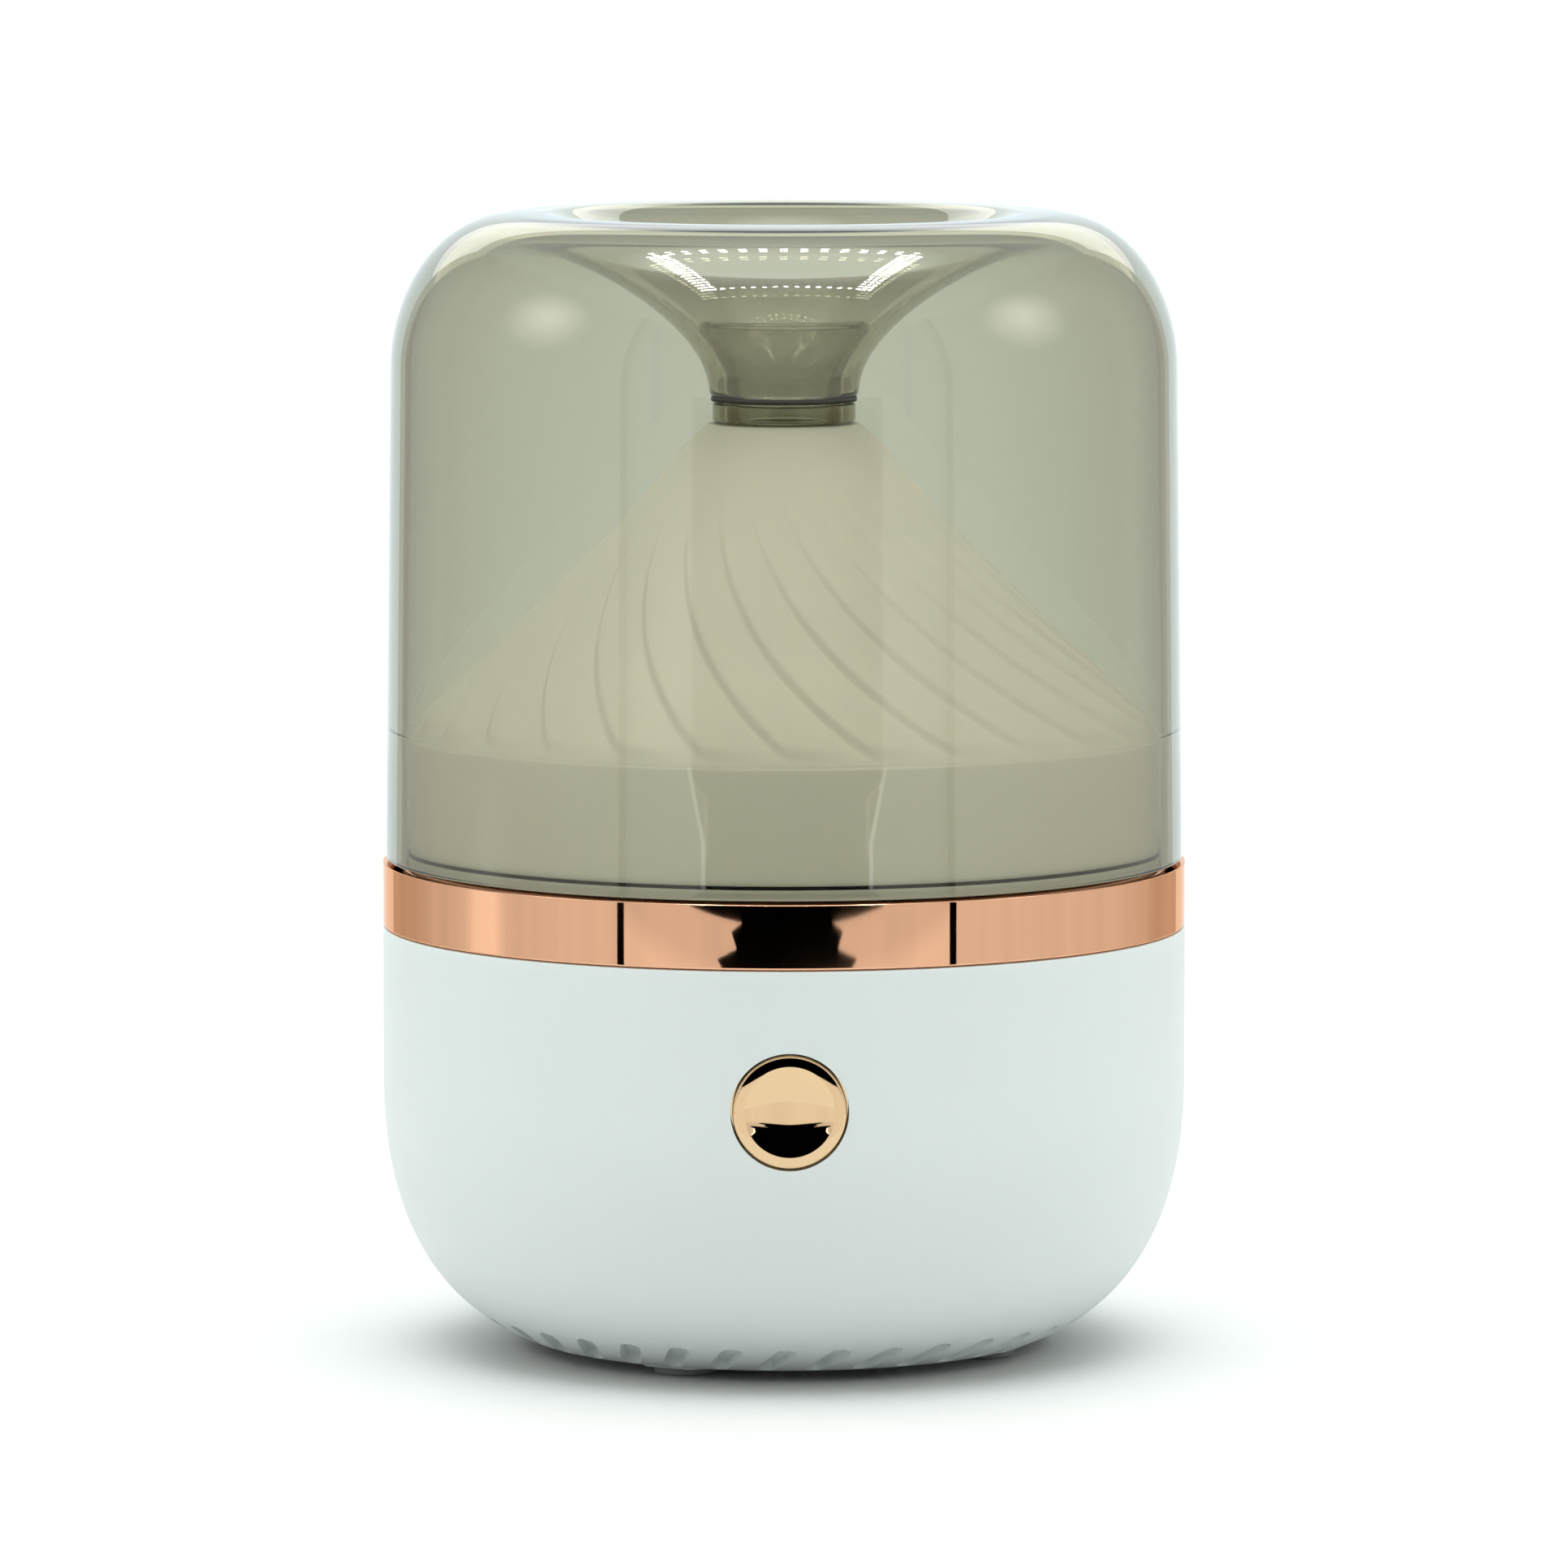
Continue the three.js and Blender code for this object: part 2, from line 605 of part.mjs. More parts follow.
// Push button and its switch.
add(button, 'button_cap', buttonCap(), PALE_GOLD);
add(button, 'switch_plunger', cylinder(1.7, 38.1, 39, 0, 0, 12), BLACK_PLASTIC);
add(base, 'switch_housing', switchHousing(), BLACK_PLASTIC);
add(base, 'switch_board', box(-7, 7, -36.5, -35.75, 27.5, 37), BOARD_GREEN);

// Power inlet and driver board.
add(base, 'inlet_sleeve', inletSleeve(), STEEL);
add(base, 'inlet_tongue', inletTongue(), BLACK_PLASTIC);
add(base, 'main_board', mainBoard(), BOARD_GREEN);
const partBottomZ = BOARD_TOP_Z + 0.3;
add(base, 'driver_chip', box(-2.5, 2.5, 16, 20, partBottomZ, partBottomZ + 1.2), BLACK_PLASTIC);
add(base, 'inductor', cylinder(3.4, partBottomZ, partBottomZ + 4.2, 6.8, 26.5, 12), COPPER);
add(base, 'capacitor', cylinder(2.4, partBottomZ, partBottomZ + 5.9, 8.8, 18.5, 12), BLACK_PLASTIC);

// Atomiser under the tank floor.
add(base, 'piezo_seal', flatRing(8.2, PIEZO_R, 22.9, 23.7, 24), GREY_RUBBER);
add(base, 'piezo_disc', cylinder(PIEZO_R, 22, 22.6, 0, 0, 24), BRASS);
add(base, 'piezo_retainer', piezoRetainer(), WHITE);
addRound(base, 'retainer_screw', retainerScrew(), STEEL, RETAINER_SCREW_R, retainerAngles);

// Light ring under the tank floor.
const ledAngles = Array.from({ length: LED_COUNT }, (_, i) => (360 / LED_COUNT) * i);
add(base, 'led_board', flatRing(15.5, 22, 17.2, 18.4, 32), BOARD_GREEN);
addRound(base, 'led', box(-1.75, 1.75, -1.4, 1.4, 18.7, 19.9), LED_WHITE, LED_CIRCLE_R, ledAngles);

// Fan.
add(fan, 'fan_frame', fanFrame(), BLACK_PLASTIC);
add(fan, 'fan_rotor', fanRotor(), BLACK_PLASTIC);
fanCorners.forEach(([x, y], i) => {
  add(fan, `fan_screw_${i + 1}`, fanScrew(), STEEL).position.set(x, y, 0);
});

// Leads between the boards, the atomiser and the fan.
add(base, 'lead_piezo', lead([
  [4.5, 1.5, 21.2], [5, 4, 18.5], [5.2, 9.5, 15.5], [4.6, 13.5, 12.6], [4, 15.2, 11.4],
], 0.5, 10), LEAD_RED);
add(base, 'lead_fan', lead([[9, 9.3, 12.6], [9.8, 12, 13.2], [10.4, 14.4, 11.4]], 0.5, 8), LEAD_BLACK);
add(base, 'lead_switch', lead([
  [-4, -36.1, 26.7], [-6, -36, 22], [-14, -31, 17], [-28, -18, 14.5], [-31, 2, 14],
  [-24, 19, 13], [-13, 26.5, 12], [-10.2, 28.5, 11.3],
], 0.5, 20), LEAD_BLACK);

export default root;
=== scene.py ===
import math

import bpy
import bmesh
from mathutils import Matrix, Vector


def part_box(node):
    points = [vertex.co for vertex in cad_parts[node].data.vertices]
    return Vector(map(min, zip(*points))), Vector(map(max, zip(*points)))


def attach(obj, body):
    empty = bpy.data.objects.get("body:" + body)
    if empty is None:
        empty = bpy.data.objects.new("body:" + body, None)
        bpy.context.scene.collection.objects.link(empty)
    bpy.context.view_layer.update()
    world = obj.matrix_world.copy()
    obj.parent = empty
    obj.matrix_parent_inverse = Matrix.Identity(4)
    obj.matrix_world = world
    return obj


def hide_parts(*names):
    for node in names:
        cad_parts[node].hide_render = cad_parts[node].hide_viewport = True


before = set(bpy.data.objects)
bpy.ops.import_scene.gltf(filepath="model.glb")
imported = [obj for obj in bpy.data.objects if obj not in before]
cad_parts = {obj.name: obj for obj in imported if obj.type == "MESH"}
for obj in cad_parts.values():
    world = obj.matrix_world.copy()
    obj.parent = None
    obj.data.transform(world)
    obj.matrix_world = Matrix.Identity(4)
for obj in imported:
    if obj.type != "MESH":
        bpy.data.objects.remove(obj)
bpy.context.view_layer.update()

MM = 0.001
TAU = 2 * math.pi


def lerp(a, b, t):
    return a + (b - a) * t


def smoothstep(lo, hi, x):
    t = min(max((x - lo) / (hi - lo), 0.0), 1.0)
    return t * t * (3 - 2 * t)


def bezier(p0, p1, p2, p3, steps):
    out = []
    for i in range(steps + 1):
        t = i / steps
        a, b, c, d = (1 - t) ** 3, 3 * (1 - t) ** 2 * t, 3 * (1 - t) * t * t, t ** 3
        out.append((a * p0[0] + b * p1[0] + c * p2[0] + d * p3[0],
                    a * p0[1] + b * p1[1] + c * p2[1] + d * p3[1]))
    return out


def span(node):
    """A node's lowest and highest corners at rest, in millimetres."""
    return [[round(v / MM, 2) for v in corner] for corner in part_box(node)]


# Driving sizes, in millimetres, from the frame.
BODY_R = span("body_shell")[1][0]
SHELL_FOOT_Z = span("body_shell")[0][2]
RING_FOOT_Z, RING_TOP_Z = (corner[2] for corner in span("trim_ring"))
TANK_R = span("water_tank")[1][0]
SHADE_R, SHADE_TOP_Z = span("mountain_shade")[1][0], span("mountain_shade")[1][2]
COVER_TOP_Z = span("smoked_cover")[1][2]
NOZZLE_FOOT_Z, NOZZLE_TOP_Z = (corner[2] for corner in span("mist_nozzle"))
NOZZLE_R, COLLAR_R = span("mist_nozzle")[1][0], span("nozzle_collar")[1][0]
COLLAR_TOP_Z = span("nozzle_collar")[1][2]
BUTTON_BACK, BUTTON_FRONT = (-span("button_cap")[i][1] for i in (1, 0))
BUTTON_FLANGE_R = span("button_cap")[1][0]
BUTTON_Z = span("button_cap")[1][2] - BUTTON_FLANGE_R


# ---------------------------------------------------------------- materials

class Nodes:
    """A small helper around one material's node tree."""

    def __init__(self, name):
        self.mat = bpy.data.materials.new(name)
        self.mat.use_nodes = True
        self.tree = self.mat.node_tree
        self.bsdf = self.tree.nodes["Principled BSDF"]
        self.out = self.tree.nodes["Material Output"]
        self.coord = self.tree.nodes.new("ShaderNodeTexCoord")

    def new(self, kind, **props):
        node = self.tree.nodes.new(kind)
        for key, value in props.items():
            setattr(node, key, value)
        return node

    def link(self, a, b):
        self.tree.links.new(a, b)

    def noise(self, scale, detail=3.0, stretch=(1, 1, 1)):
        mapping = self.new("ShaderNodeMapping")
        mapping.inputs["Scale"].default_value = stretch
        self.link(self.coord.outputs["Object"], mapping.inputs["Vector"])
        tex = self.new("ShaderNodeTexNoise")
        tex.inputs["Scale"].default_value = scale
        tex.inputs["Detail"].default_value = detail
        self.link(mapping.outputs["Vector"], tex.inputs["Vector"])
        return tex.outputs["Fac"]

    def spread(self, source, low, high, lo_in=0.3, hi_in=0.7):
        node = self.new("ShaderNodeMapRange")
        node.inputs["From Min"].default_value = lo_in
        node.inputs["From Max"].default_value = hi_in
        node.inputs["To Min"].default_value = low
        node.inputs["To Max"].default_value = high
        self.link(source, node.inputs["Value"])
        return node.outputs["Result"]

    def tint(self, source, dark, light):
        node = self.new("ShaderNodeValToRGB")
        node.color_ramp.elements[0].position = 0.3
        node.color_ramp.elements[1].position = 0.7
        node.color_ramp.elements[0].color = (*dark, 1)
        node.color_ramp.elements[1].color = (*light, 1)
        self.link(source, node.inputs["Fac"])
        self.link(node.outputs["Color"], self.bsdf.inputs["Base Color"])

    def bump(self, source, strength, distance):
        node = self.new("ShaderNodeBump")
        node.inputs["Strength"].default_value = strength
        node.inputs["Distance"].default_value = distance
        self.link(source, node.inputs["Height"])
        self.link(node.outputs["Normal"], self.bsdf.inputs["Normal"])


def plain(name, color, rough, metallic=0.0, vary=0.04, rough_vary=0.06, grain=900.0, bump=0.08,
          depth=0.00004, ior=1.48, stretch=(1, 1, 1), specular=0.5, subsurface=0.0, edge=None):
    n = Nodes(name)
    b = n.bsdf.inputs
    b["Metallic"].default_value = metallic
    b["IOR"].default_value = ior
    b["Specular IOR Level"].default_value = specular
    if edge:
        b["Specular Tint"].default_value = (*edge, 1)
    if subsurface:
        b["Subsurface Weight"].default_value = subsurface
        b["Subsurface Radius"].default_value = (1.0, 0.95, 0.85)
        b["Subsurface Scale"].default_value = 0.002
    soft = n.noise(34, 4, stretch)
    n.tint(soft, [c * (1 - vary) for c in color], [min(1, c * (1 + vary * 0.5)) for c in color])
    fine = n.noise(grain, 4, stretch)
    n.link(n.spread(n.noise(60, 4, stretch), rough - rough_vary, rough + rough_vary), b["Roughness"])
    n.bump(fine, bump, depth)
    return n.mat


def clear(name, density, tint, rough):
    n = Nodes(name)
    b = n.bsdf.inputs
    b["Base Color"].default_value = (1, 1, 1, 1)
    b["Transmission Weight"].default_value = 1.0
    b["IOR"].default_value = 1.5
    n.link(n.spread(n.noise(45, 4), rough * 0.4, rough), b["Roughness"])
    n.bump(n.noise(26, 2), 0.05, 0.0002)
    volume = n.new("ShaderNodeVolumeAbsorption")
    volume.inputs["Density"].default_value = density
    volume.inputs["Color"].default_value = (*tint, 1)
    n.link(volume.outputs["Volume"], n.out.inputs["Volume"])
    return n.mat


WHITE = plain("shell_white", (0.80, 0.85, 0.83), 0.42, vary=0.012, rough_vary=0.04, grain=1500, bump=0.06)
BASE_WHITE = plain("base_white", (0.78, 0.83, 0.81), 0.5, vary=0.02, grain=1200, bump=0.1)
TANK = plain("tank_white", (0.82, 0.83, 0.79), 0.3, vary=0.015, grain=900, bump=0.04, subsurface=0.1)
SHADE = plain("shade_milk", (0.90, 0.89, 0.865), 0.36, vary=0.015, grain=260, bump=0.02, subsurface=0.35)
GOLD = plain("ring_rose_gold", (0.80, 0.455, 0.285), 0.03, metallic=1, vary=0.03, rough_vary=0.012, grain=500,
             bump=0.02, depth=0.00002, edge=(0.95, 0.68, 0.52))
PALE_GOLD = plain("button_pale_gold", (0.765, 0.55, 0.33), 0.03, metallic=1, vary=0.03, rough_vary=0.012,
                  grain=600, bump=0.015, depth=0.00002)
SMOKE = clear("cover_smoke", 400, (0.525, 0.51, 0.345), 0.02)
SMOKE_DEEP = clear("nozzle_smoke", 470, (0.525, 0.51, 0.345), 0.03)
RUBBER = plain("foot_rubber", (0.30, 0.31, 0.31), 0.8, vary=0.08, grain=1400, bump=0.25)
SEAL = plain("seal_black", (0.006, 0.006, 0.007), 0.6, vary=0.2, grain=1200, bump=0.15)
STEEL = plain("screw_steel", (0.60, 0.61, 0.62), 0.3, metallic=1, vary=0.05, grain=900, bump=0.1)
BOARD = plain("board_green", (0.01, 0.10, 0.04), 0.35, vary=0.2, grain=600, bump=0.1)
BLACK = plain("plastic_black", (0.014, 0.014, 0.016), 0.45, vary=0.1, grain=1200, bump=0.15)
BRASS = plain("piezo_brass", (0.72, 0.52, 0.22), 0.28, metallic=1, vary=0.06, grain=700, bump=0.08)
LED = plain("led_face", (0.86, 0.80, 0.55), 0.3, vary=0.05, grain=900, bump=0.05)
COPPER = plain("coil_copper", (0.42, 0.15, 0.06), 0.35, metallic=0.6, vary=0.15, grain=1800, bump=0.3,
               stretch=(0.05, 0.05, 1))
WIRE_RED = plain("lead_red", (0.45, 0.03, 0.02), 0.5, vary=0.08, grain=900, bump=0.05)
WIRE_BLACK = plain("lead_black", (0.02, 0.02, 0.022), 0.5, vary=0.08, grain=900, bump=0.05)


# ---------------------------------------------------------------- mesh tools

def mesh_object(name, verts, faces, material, sharp=None):
    mesh = bpy.data.meshes.new(name)
    mesh.from_pydata(verts, [], faces)
    bm = bmesh.new()
    bm.from_mesh(mesh)
    bmesh.ops.remove_doubles(bm, verts=bm.verts, dist=1e-7)
    bmesh.ops.recalc_face_normals(bm, faces=bm.faces)
    bm.to_mesh(mesh)
    bm.free()
    mesh.shade_smooth()
    if sharp:
        mesh.set_sharp_from_angle(angle=math.radians(sharp))
    obj = bpy.data.objects.new(name, mesh)
    bpy.context.scene.collection.objects.link(obj)
    mesh.materials.append(material)
    return obj


def lathe(name, profile, material, steps=192, sharp=None, shape=None, angles=None):
    """Turn a closed (r, z) profile in millimetres about Z; shape may move each point."""
    angles = angles or [TAU * i / steps for i in range(steps)]
    rows = len(profile)
    verts = []
    for a in angles:
        for j, (r, z) in enumerate(profile):
            rr, zz, aa = shape(r, z, a, j) if shape else (r, z, a)
            verts.append((rr * math.sin(aa) * MM, -rr * math.cos(aa) * MM, zz * MM))
    faces = []
    count = len(angles)
    for i in range(count):
        n = (i + 1) % count
        for j in range(rows):
            k = (j + 1) % rows
            ids = [i * rows + j, n * rows + j, n * rows + k, i * rows + k]
            if profile[j][0] < 1e-6 and profile[k][0] < 1e-6:
                continue
            if profile[j][0] < 1e-6:
                ids = [ids[0], ids[2], ids[3]]
            elif profile[k][0] < 1e-6:
                ids = [ids[0], ids[1], ids[2]]
            faces.append(ids)
    return mesh_object(name, verts, faces, material, sharp)


def rounded(points, radii, steps=5):
    """A closed profile with each corner rounded, and a tight edge beside each round."""
    out = []
    total = len(points)
    for i, p in enumerate(points):
        radius = radii[i] if isinstance(radii, (list, tuple)) else radii
        a = Vector(points[i - 1]) - Vector(p)
        b = Vector(points[(i + 1) % total]) - Vector(p)
        if radius <= 0 or a.length < 1e-6 or b.length < 1e-6:
            out.append(tuple(p))
            continue
        angle = a.angle(b)
        if angle > math.pi - 0.02:
            out.append(tuple(p))
            continue
        reach = min(radius / math.tan(angle / 2), a.length * 0.45, b.length * 0.45)
        radius = reach * math.tan(angle / 2)
        ad, bd = a.normalized(), b.normalized()
        centre = Vector(p) + (ad + bd).normalized() * (radius / math.sin(angle / 2))
        start, end = Vector(p) + ad * reach, Vector(p) + bd * reach
        if a.length > reach * 2.4:
            out.append(tuple(start + ad * min(reach * 0.2, 0.1)))
        v0, v1 = start - centre, end - centre
        sweep = v0.angle_signed(v1) if v0.length > 1e-9 and v1.length > 1e-9 else 0
        for s in range(steps + 1):
            t = -sweep * s / steps
            c, sn = math.cos(t), math.sin(t)
            out.append((centre.x + v0.x * c - v0.y * sn, centre.y + v0.x * sn + v0.y * c))
        if b.length > reach * 2.4:
            out.append(tuple(end + bd * min(reach * 0.2, 0.1)))
    return out


def subdivide(profile, longest):
    """Split a closed profile's sides so that none is longer than this."""
    out = []
    total = len(profile)
    for i, p in enumerate(profile):
        q = profile[(i + 1) % total]
        gap = math.dist(p, q)
        parts = max(1, math.ceil(gap / longest))
        for s in range(parts):
            out.append((lerp(p[0], q[0], s / parts), lerp(p[1], q[1], s / parts)))
    return out


def prism(name, outline, depth, matrix, material):
    """An outline in millimetres pushed along its own Z, then placed."""
    bm = bmesh.new()
    low = [bm.verts.new((x * MM, y * MM, 0)) for x, y in outline]
    face = bm.faces.new(low)
    result = bmesh.ops.extrude_face_region(bm, geom=[face])
    top = [v for v in result["geom"] if isinstance(v, bmesh.types.BMVert)]
    bmesh.ops.translate(bm, verts=top, vec=(0, 0, depth * MM))
    bm.transform(matrix)
    bmesh.ops.recalc_face_normals(bm, faces=bm.faces)
    mesh = bpy.data.meshes.new(name)
    bm.to_mesh(mesh)
    bm.free()
    mesh.shade_smooth()
    mesh.set_sharp_from_angle(angle=math.radians(35))
    obj = bpy.data.objects.new(name, mesh)
    bpy.context.scene.collection.objects.link(obj)
    mesh.materials.append(material)
    return obj


def stadium(length, width, steps=10):
    """A slot's outline with round ends."""
    half = (length - width) / 2
    r = width / 2
    out = [(half + r * math.sin(math.pi * i / steps), -r * math.cos(math.pi * i / steps))
           for i in range(steps + 1)]
    out += [(-half - r * math.sin(math.pi * i / steps), r * math.cos(math.pi * i / steps))
            for i in range(steps + 1)]
    return out


def rectangle(w, h, corner, steps=5):
    """An outline with four rounded corners."""
    out = []
    for cx, cy, start in ((w / 2, h / 2, 0), (-w / 2, h / 2, 90), (-w / 2, -h / 2, 180), (w / 2, -h / 2, 270)):
        sx, sy = (1 if cx > 0 else -1), (1 if cy > 0 else -1)
        for i in range(steps + 1):
            a = math.radians(start + 90 * i / steps)
            out.append((cx - sx * corner + corner * math.cos(a), cy - sy * corner + corner * math.sin(a)))
    return out


def carve(obj, tool, mode="DIFFERENCE"):
    """Cut a tool out of a piece, join it on, or keep what they share, and drop the tool."""
    mod = obj.modifiers.new("carve", "BOOLEAN")
    mod.operation = mode
    mod.solver = "EXACT"
    mod.object = tool
    deps = bpy.context.evaluated_depsgraph_get()
    mesh = bpy.data.meshes.new_from_object(obj.evaluated_get(deps))
    obj.modifiers.clear()
    obj.data = mesh
    bpy.data.objects.remove(tool)


def resharpen(obj, degrees):
    obj.data.shade_smooth()
    obj.data.set_sharp_from_angle(angle=math.radians(degrees))


# +Z of a turned or pushed piece laid along -Y or +Y.
FACING_FRONT = Matrix.Rotation(math.radians(90), 4, "X")
FACING_BACK = Matrix.Rotation(math.radians(-90), 4, "X")


def at(x, y, z):
    return Matrix.Translation((x * MM, y * MM, z * MM))


def around(circle, degrees):
    """A place on a circle about Z, counted from the front."""
    a = math.radians(degrees)
    return at(circle * math.sin(a), -circle * math.cos(a), 0)


def carve_turned(obj, material, profile, place, steps, mode="DIFFERENCE"):
    """Carve with a tool turned from a profile and set at a place."""
    tool = lathe("turned_tool", profile, material, steps=steps)
    tool.data.transform(place)
    carve(obj, tool, mode)


# ---------------------------------------------------------------- base shell

BUTTON_PLACE = at(0, 0, BUTTON_Z) @ FACING_FRONT
BUTTON_HOLE_R = 6.43

SCREW_CIRCLE, SCREW_TURN = 25.2, 18
FOOT_CIRCLE, FOOT_TURN = 24.7, -27

GROOVES = 36
PITCH = TAU / GROOVES
GROOVE_PHASE = math.radians(-2.5)
GROOVE_R = 32.2                  # middle of the grooves
GROOVE_LEAN = math.radians(28.7)
GROOVE_SLOPE = math.radians(27)  # of the shell's surface there
GROOVE_HALF_LENGTH = 2.1         # between the centres of the round ends
GROOVE_HALF_WIDTH = 1.1
GROOVE_DEPTH = 0.95
GROOVES_END_R, GROOVES_END_Z = 36.6, 12

SHELL_TOP_Z = 47.4
WALL_IN_R = 42.8
MOUTH_R = 29.0
CORNER_TOP_Z = 30

INLET_Z = 12.3
RECESS_Y, RECESS_Z = 39.3, 11.5


def shell_profile():
    """Up the outside from the mouth, over the top edge, and down the inside."""
    corner = bezier((29.3, SHELL_FOOT_Z), (41.5, 6), (BODY_R, 18), (BODY_R, CORNER_TOP_Z), 160)
    low = [p for p in corner if p[0] < GROOVES_END_R]
    high = [p for p in corner if p[0] >= GROOVES_END_R][::4]
    wall = [(BODY_R, z) for z in range(CORNER_TOP_Z + 1, 47)]
    top = [(BODY_R, 46.9), (BODY_R, 47.15), (44.93, 47.32), (44.75, SHELL_TOP_Z), (WALL_IN_R, SHELL_TOP_Z),
           (WALL_IN_R, 40)]
    inner = bezier((WALL_IN_R, CORNER_TOP_Z), (WALL_IN_R, 18.6), (39.9, 7.9), (MOUTH_R, 3.5), 14)
    mouth = [(MOUTH_R, 1.32), (29.03, 1.24), (29.1, SHELL_FOOT_Z)]
    return mouth + low + high + wall + top + inner


def shell_angles():
    """Columns of the shell's mesh, close together at each groove's edges."""
    ticks = [0, 0.5, 0.9, 1.08, 1.16, 1.22, 1.28, 1.34, 1.42, 1.62, 1.95, 2.35]
    half = [t / GROOVE_R for t in ticks]
    column = sorted([-t for t in half[1:]] + half) + [PITCH / 2]
    return [GROOVE_PHASE + k * PITCH + c for k in range(GROOVES) for c in column]


def groove_shape(r, z, a, j):
    """Lean the columns with the grooves low down, and sink the groove floors."""
    if z > GROOVES_END_Z or (r < 29.2 and z > 1.3):
        return r, z, a
    s = (r - GROOVE_R) / math.cos(GROOVE_SLOPE)
    u = (a - GROOVE_PHASE + PITCH / 2) % PITCH - PITCH / 2
    t = u * GROOVE_R + math.tan(GROOVE_LEAN) * s
    along = s * math.cos(GROOVE_LEAN) + t * math.sin(GROOVE_LEAN)
    across = t * math.cos(GROOVE_LEAN) - s * math.sin(GROOVE_LEAN)
    gap = math.hypot(max(abs(along) - GROOVE_HALF_LENGTH, 0), across) - GROOVE_HALF_WIDTH
    depth = GROOVE_DEPTH * smoothstep(0.05, -0.2, gap)
    lean = math.tan(GROOVE_LEAN) * s / GROOVE_R * (1 - smoothstep(36.0, 40.0, r))
    return r - depth * math.sin(GROOVE_SLOPE), z + depth * math.cos(GROOVE_SLOPE), a + lean


def make_shell():
    """The shell, with the button's hole, and the inlet's boss, recess and slot at the rear."""
    piece = lathe("shell", shell_profile(), WHITE, angles=shell_angles(), shape=groove_shape)
    carve_turned(piece, WHITE, [(0, 38), (BUTTON_HOLE_R, 38), (BUTTON_HOLE_R, 48), (0, 48)], BUTTON_PLACE, 96)
    side_view = Matrix(((0, 0, 1, 0), (1, 0, 0, 0), (0, 1, 0, 0), (0, 0, 0, 1)))
    boss_outline = [(36.2, 8.4), (37.3, 8.4), (39.9, 12), (41.8, 16.9), (36.2, 16.9)]
    carve(piece, prism("boss_tool", boss_outline, 16, at(-8, 0, 0) @ side_view, WHITE), "UNION")
    recess = at(0, RECESS_Y, RECESS_Z) @ FACING_BACK
    carve(piece, prism("recess_tool", rectangle(12.6, 9.6, 1.6), 10, recess, WHITE))
    carve(piece, prism("slot_tool", stadium(9.6, 3.9), 12, at(0, 34, INLET_Z) @ FACING_BACK, WHITE))
    resharpen(piece, 38)
    return piece


shell = make_shell()
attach(shell, "base")
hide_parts("body_shell")

# ---------------------------------------------------------------- trim ring

RING_IN_R, SPIGOT_R, RING_LOW_Z = 41, 42.5, 47.5

ring = lathe("ring", rounded([(RING_IN_R, RING_FOOT_Z), (SPIGOT_R, RING_FOOT_Z), (SPIGOT_R, RING_LOW_Z),
                              (BODY_R, RING_LOW_Z), (BODY_R, RING_TOP_Z), (RING_IN_R, RING_TOP_Z)],
                             [0.2, 0.2, 0.05, 0.2, 0.13, 0.2], 8), GOLD, steps=256)
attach(ring, "base")
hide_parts("trim_ring")

# ---------------------------------------------------------------- water tank

TANK_FLOOR_Z, TANK_BASIN_Z = 24, 25.6
RIM_LOW_Z, RIM_TOP_Z = 54.9, 55.97
SLOT_IN_R, SLOT_OUT_R, SLOT_HALF_TURN = 36.8, 39.6, 11

tank_profile = rounded(
    [(8, TANK_FLOOR_Z), (35.4, TANK_FLOOR_Z), (35.4, RIM_LOW_Z), (TANK_R, RIM_LOW_Z), (TANK_R, RIM_TOP_Z),
     (33.8, RIM_TOP_Z), (33.8, TANK_BASIN_Z), (8, TANK_BASIN_Z)],
    [0.2, 1.2, 0.2, 0.1, 0.06, 0.3, 1.8, 0.3], 5)
tub = lathe("tank_tub", subdivide(tank_profile, 3.0), TANK, steps=160)
for i in range(4):
    spot = around(SCREW_CIRCLE, SCREW_TURN + 90 * i)
    carve_turned(tub, TANK, [(0, 4.2), (2.6, 4.2), (2.6, 24.5), (0, 24.5)], spot, 40, "UNION")
    carve_turned(tub, TANK, [(0, 3), (1.3, 3), (1.3, 10.5), (0, 10.5)], spot, 32)
arc = [math.radians(-SLOT_HALF_TURN + 2 * SLOT_HALF_TURN * i / 16) for i in range(17)]
sector = ([(SLOT_IN_R * math.sin(t), SLOT_IN_R * math.cos(t)) for t in arc]
          + [(SLOT_OUT_R * math.sin(t), SLOT_OUT_R * math.cos(t)) for t in reversed(arc)])
carve(tub, prism("air_tool", sector, 4, at(0, 0, 53.5), TANK))
resharpen(tub, 38)
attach(tub, "base")
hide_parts("water_tank")

SEAL_IN_R, SEAL_OUT_R, SEAL_LOW_Z, SEAL_TOP_Z = 40.2, 42.15, 55.99, 56.3

seal = lathe("seal_ring", rounded([(SEAL_IN_R, SEAL_LOW_Z), (SEAL_OUT_R, SEAL_LOW_Z), (SEAL_OUT_R, SEAL_TOP_Z),
                                   (SEAL_IN_R, SEAL_TOP_Z)], 0.05, 3), SEAL, steps=192)
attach(seal, "base")
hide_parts("shade_seal")

# ---------------------------------------------------------------- mountain shade

PETALS = 28
PETAL_SWEEP = math.radians(1.55)  # for each millimetre in from the skirt
PETAL_HEIGHT = 0.66
SKIRT_FOOT_Z = 56.33
FLANK_STEP = 0.55


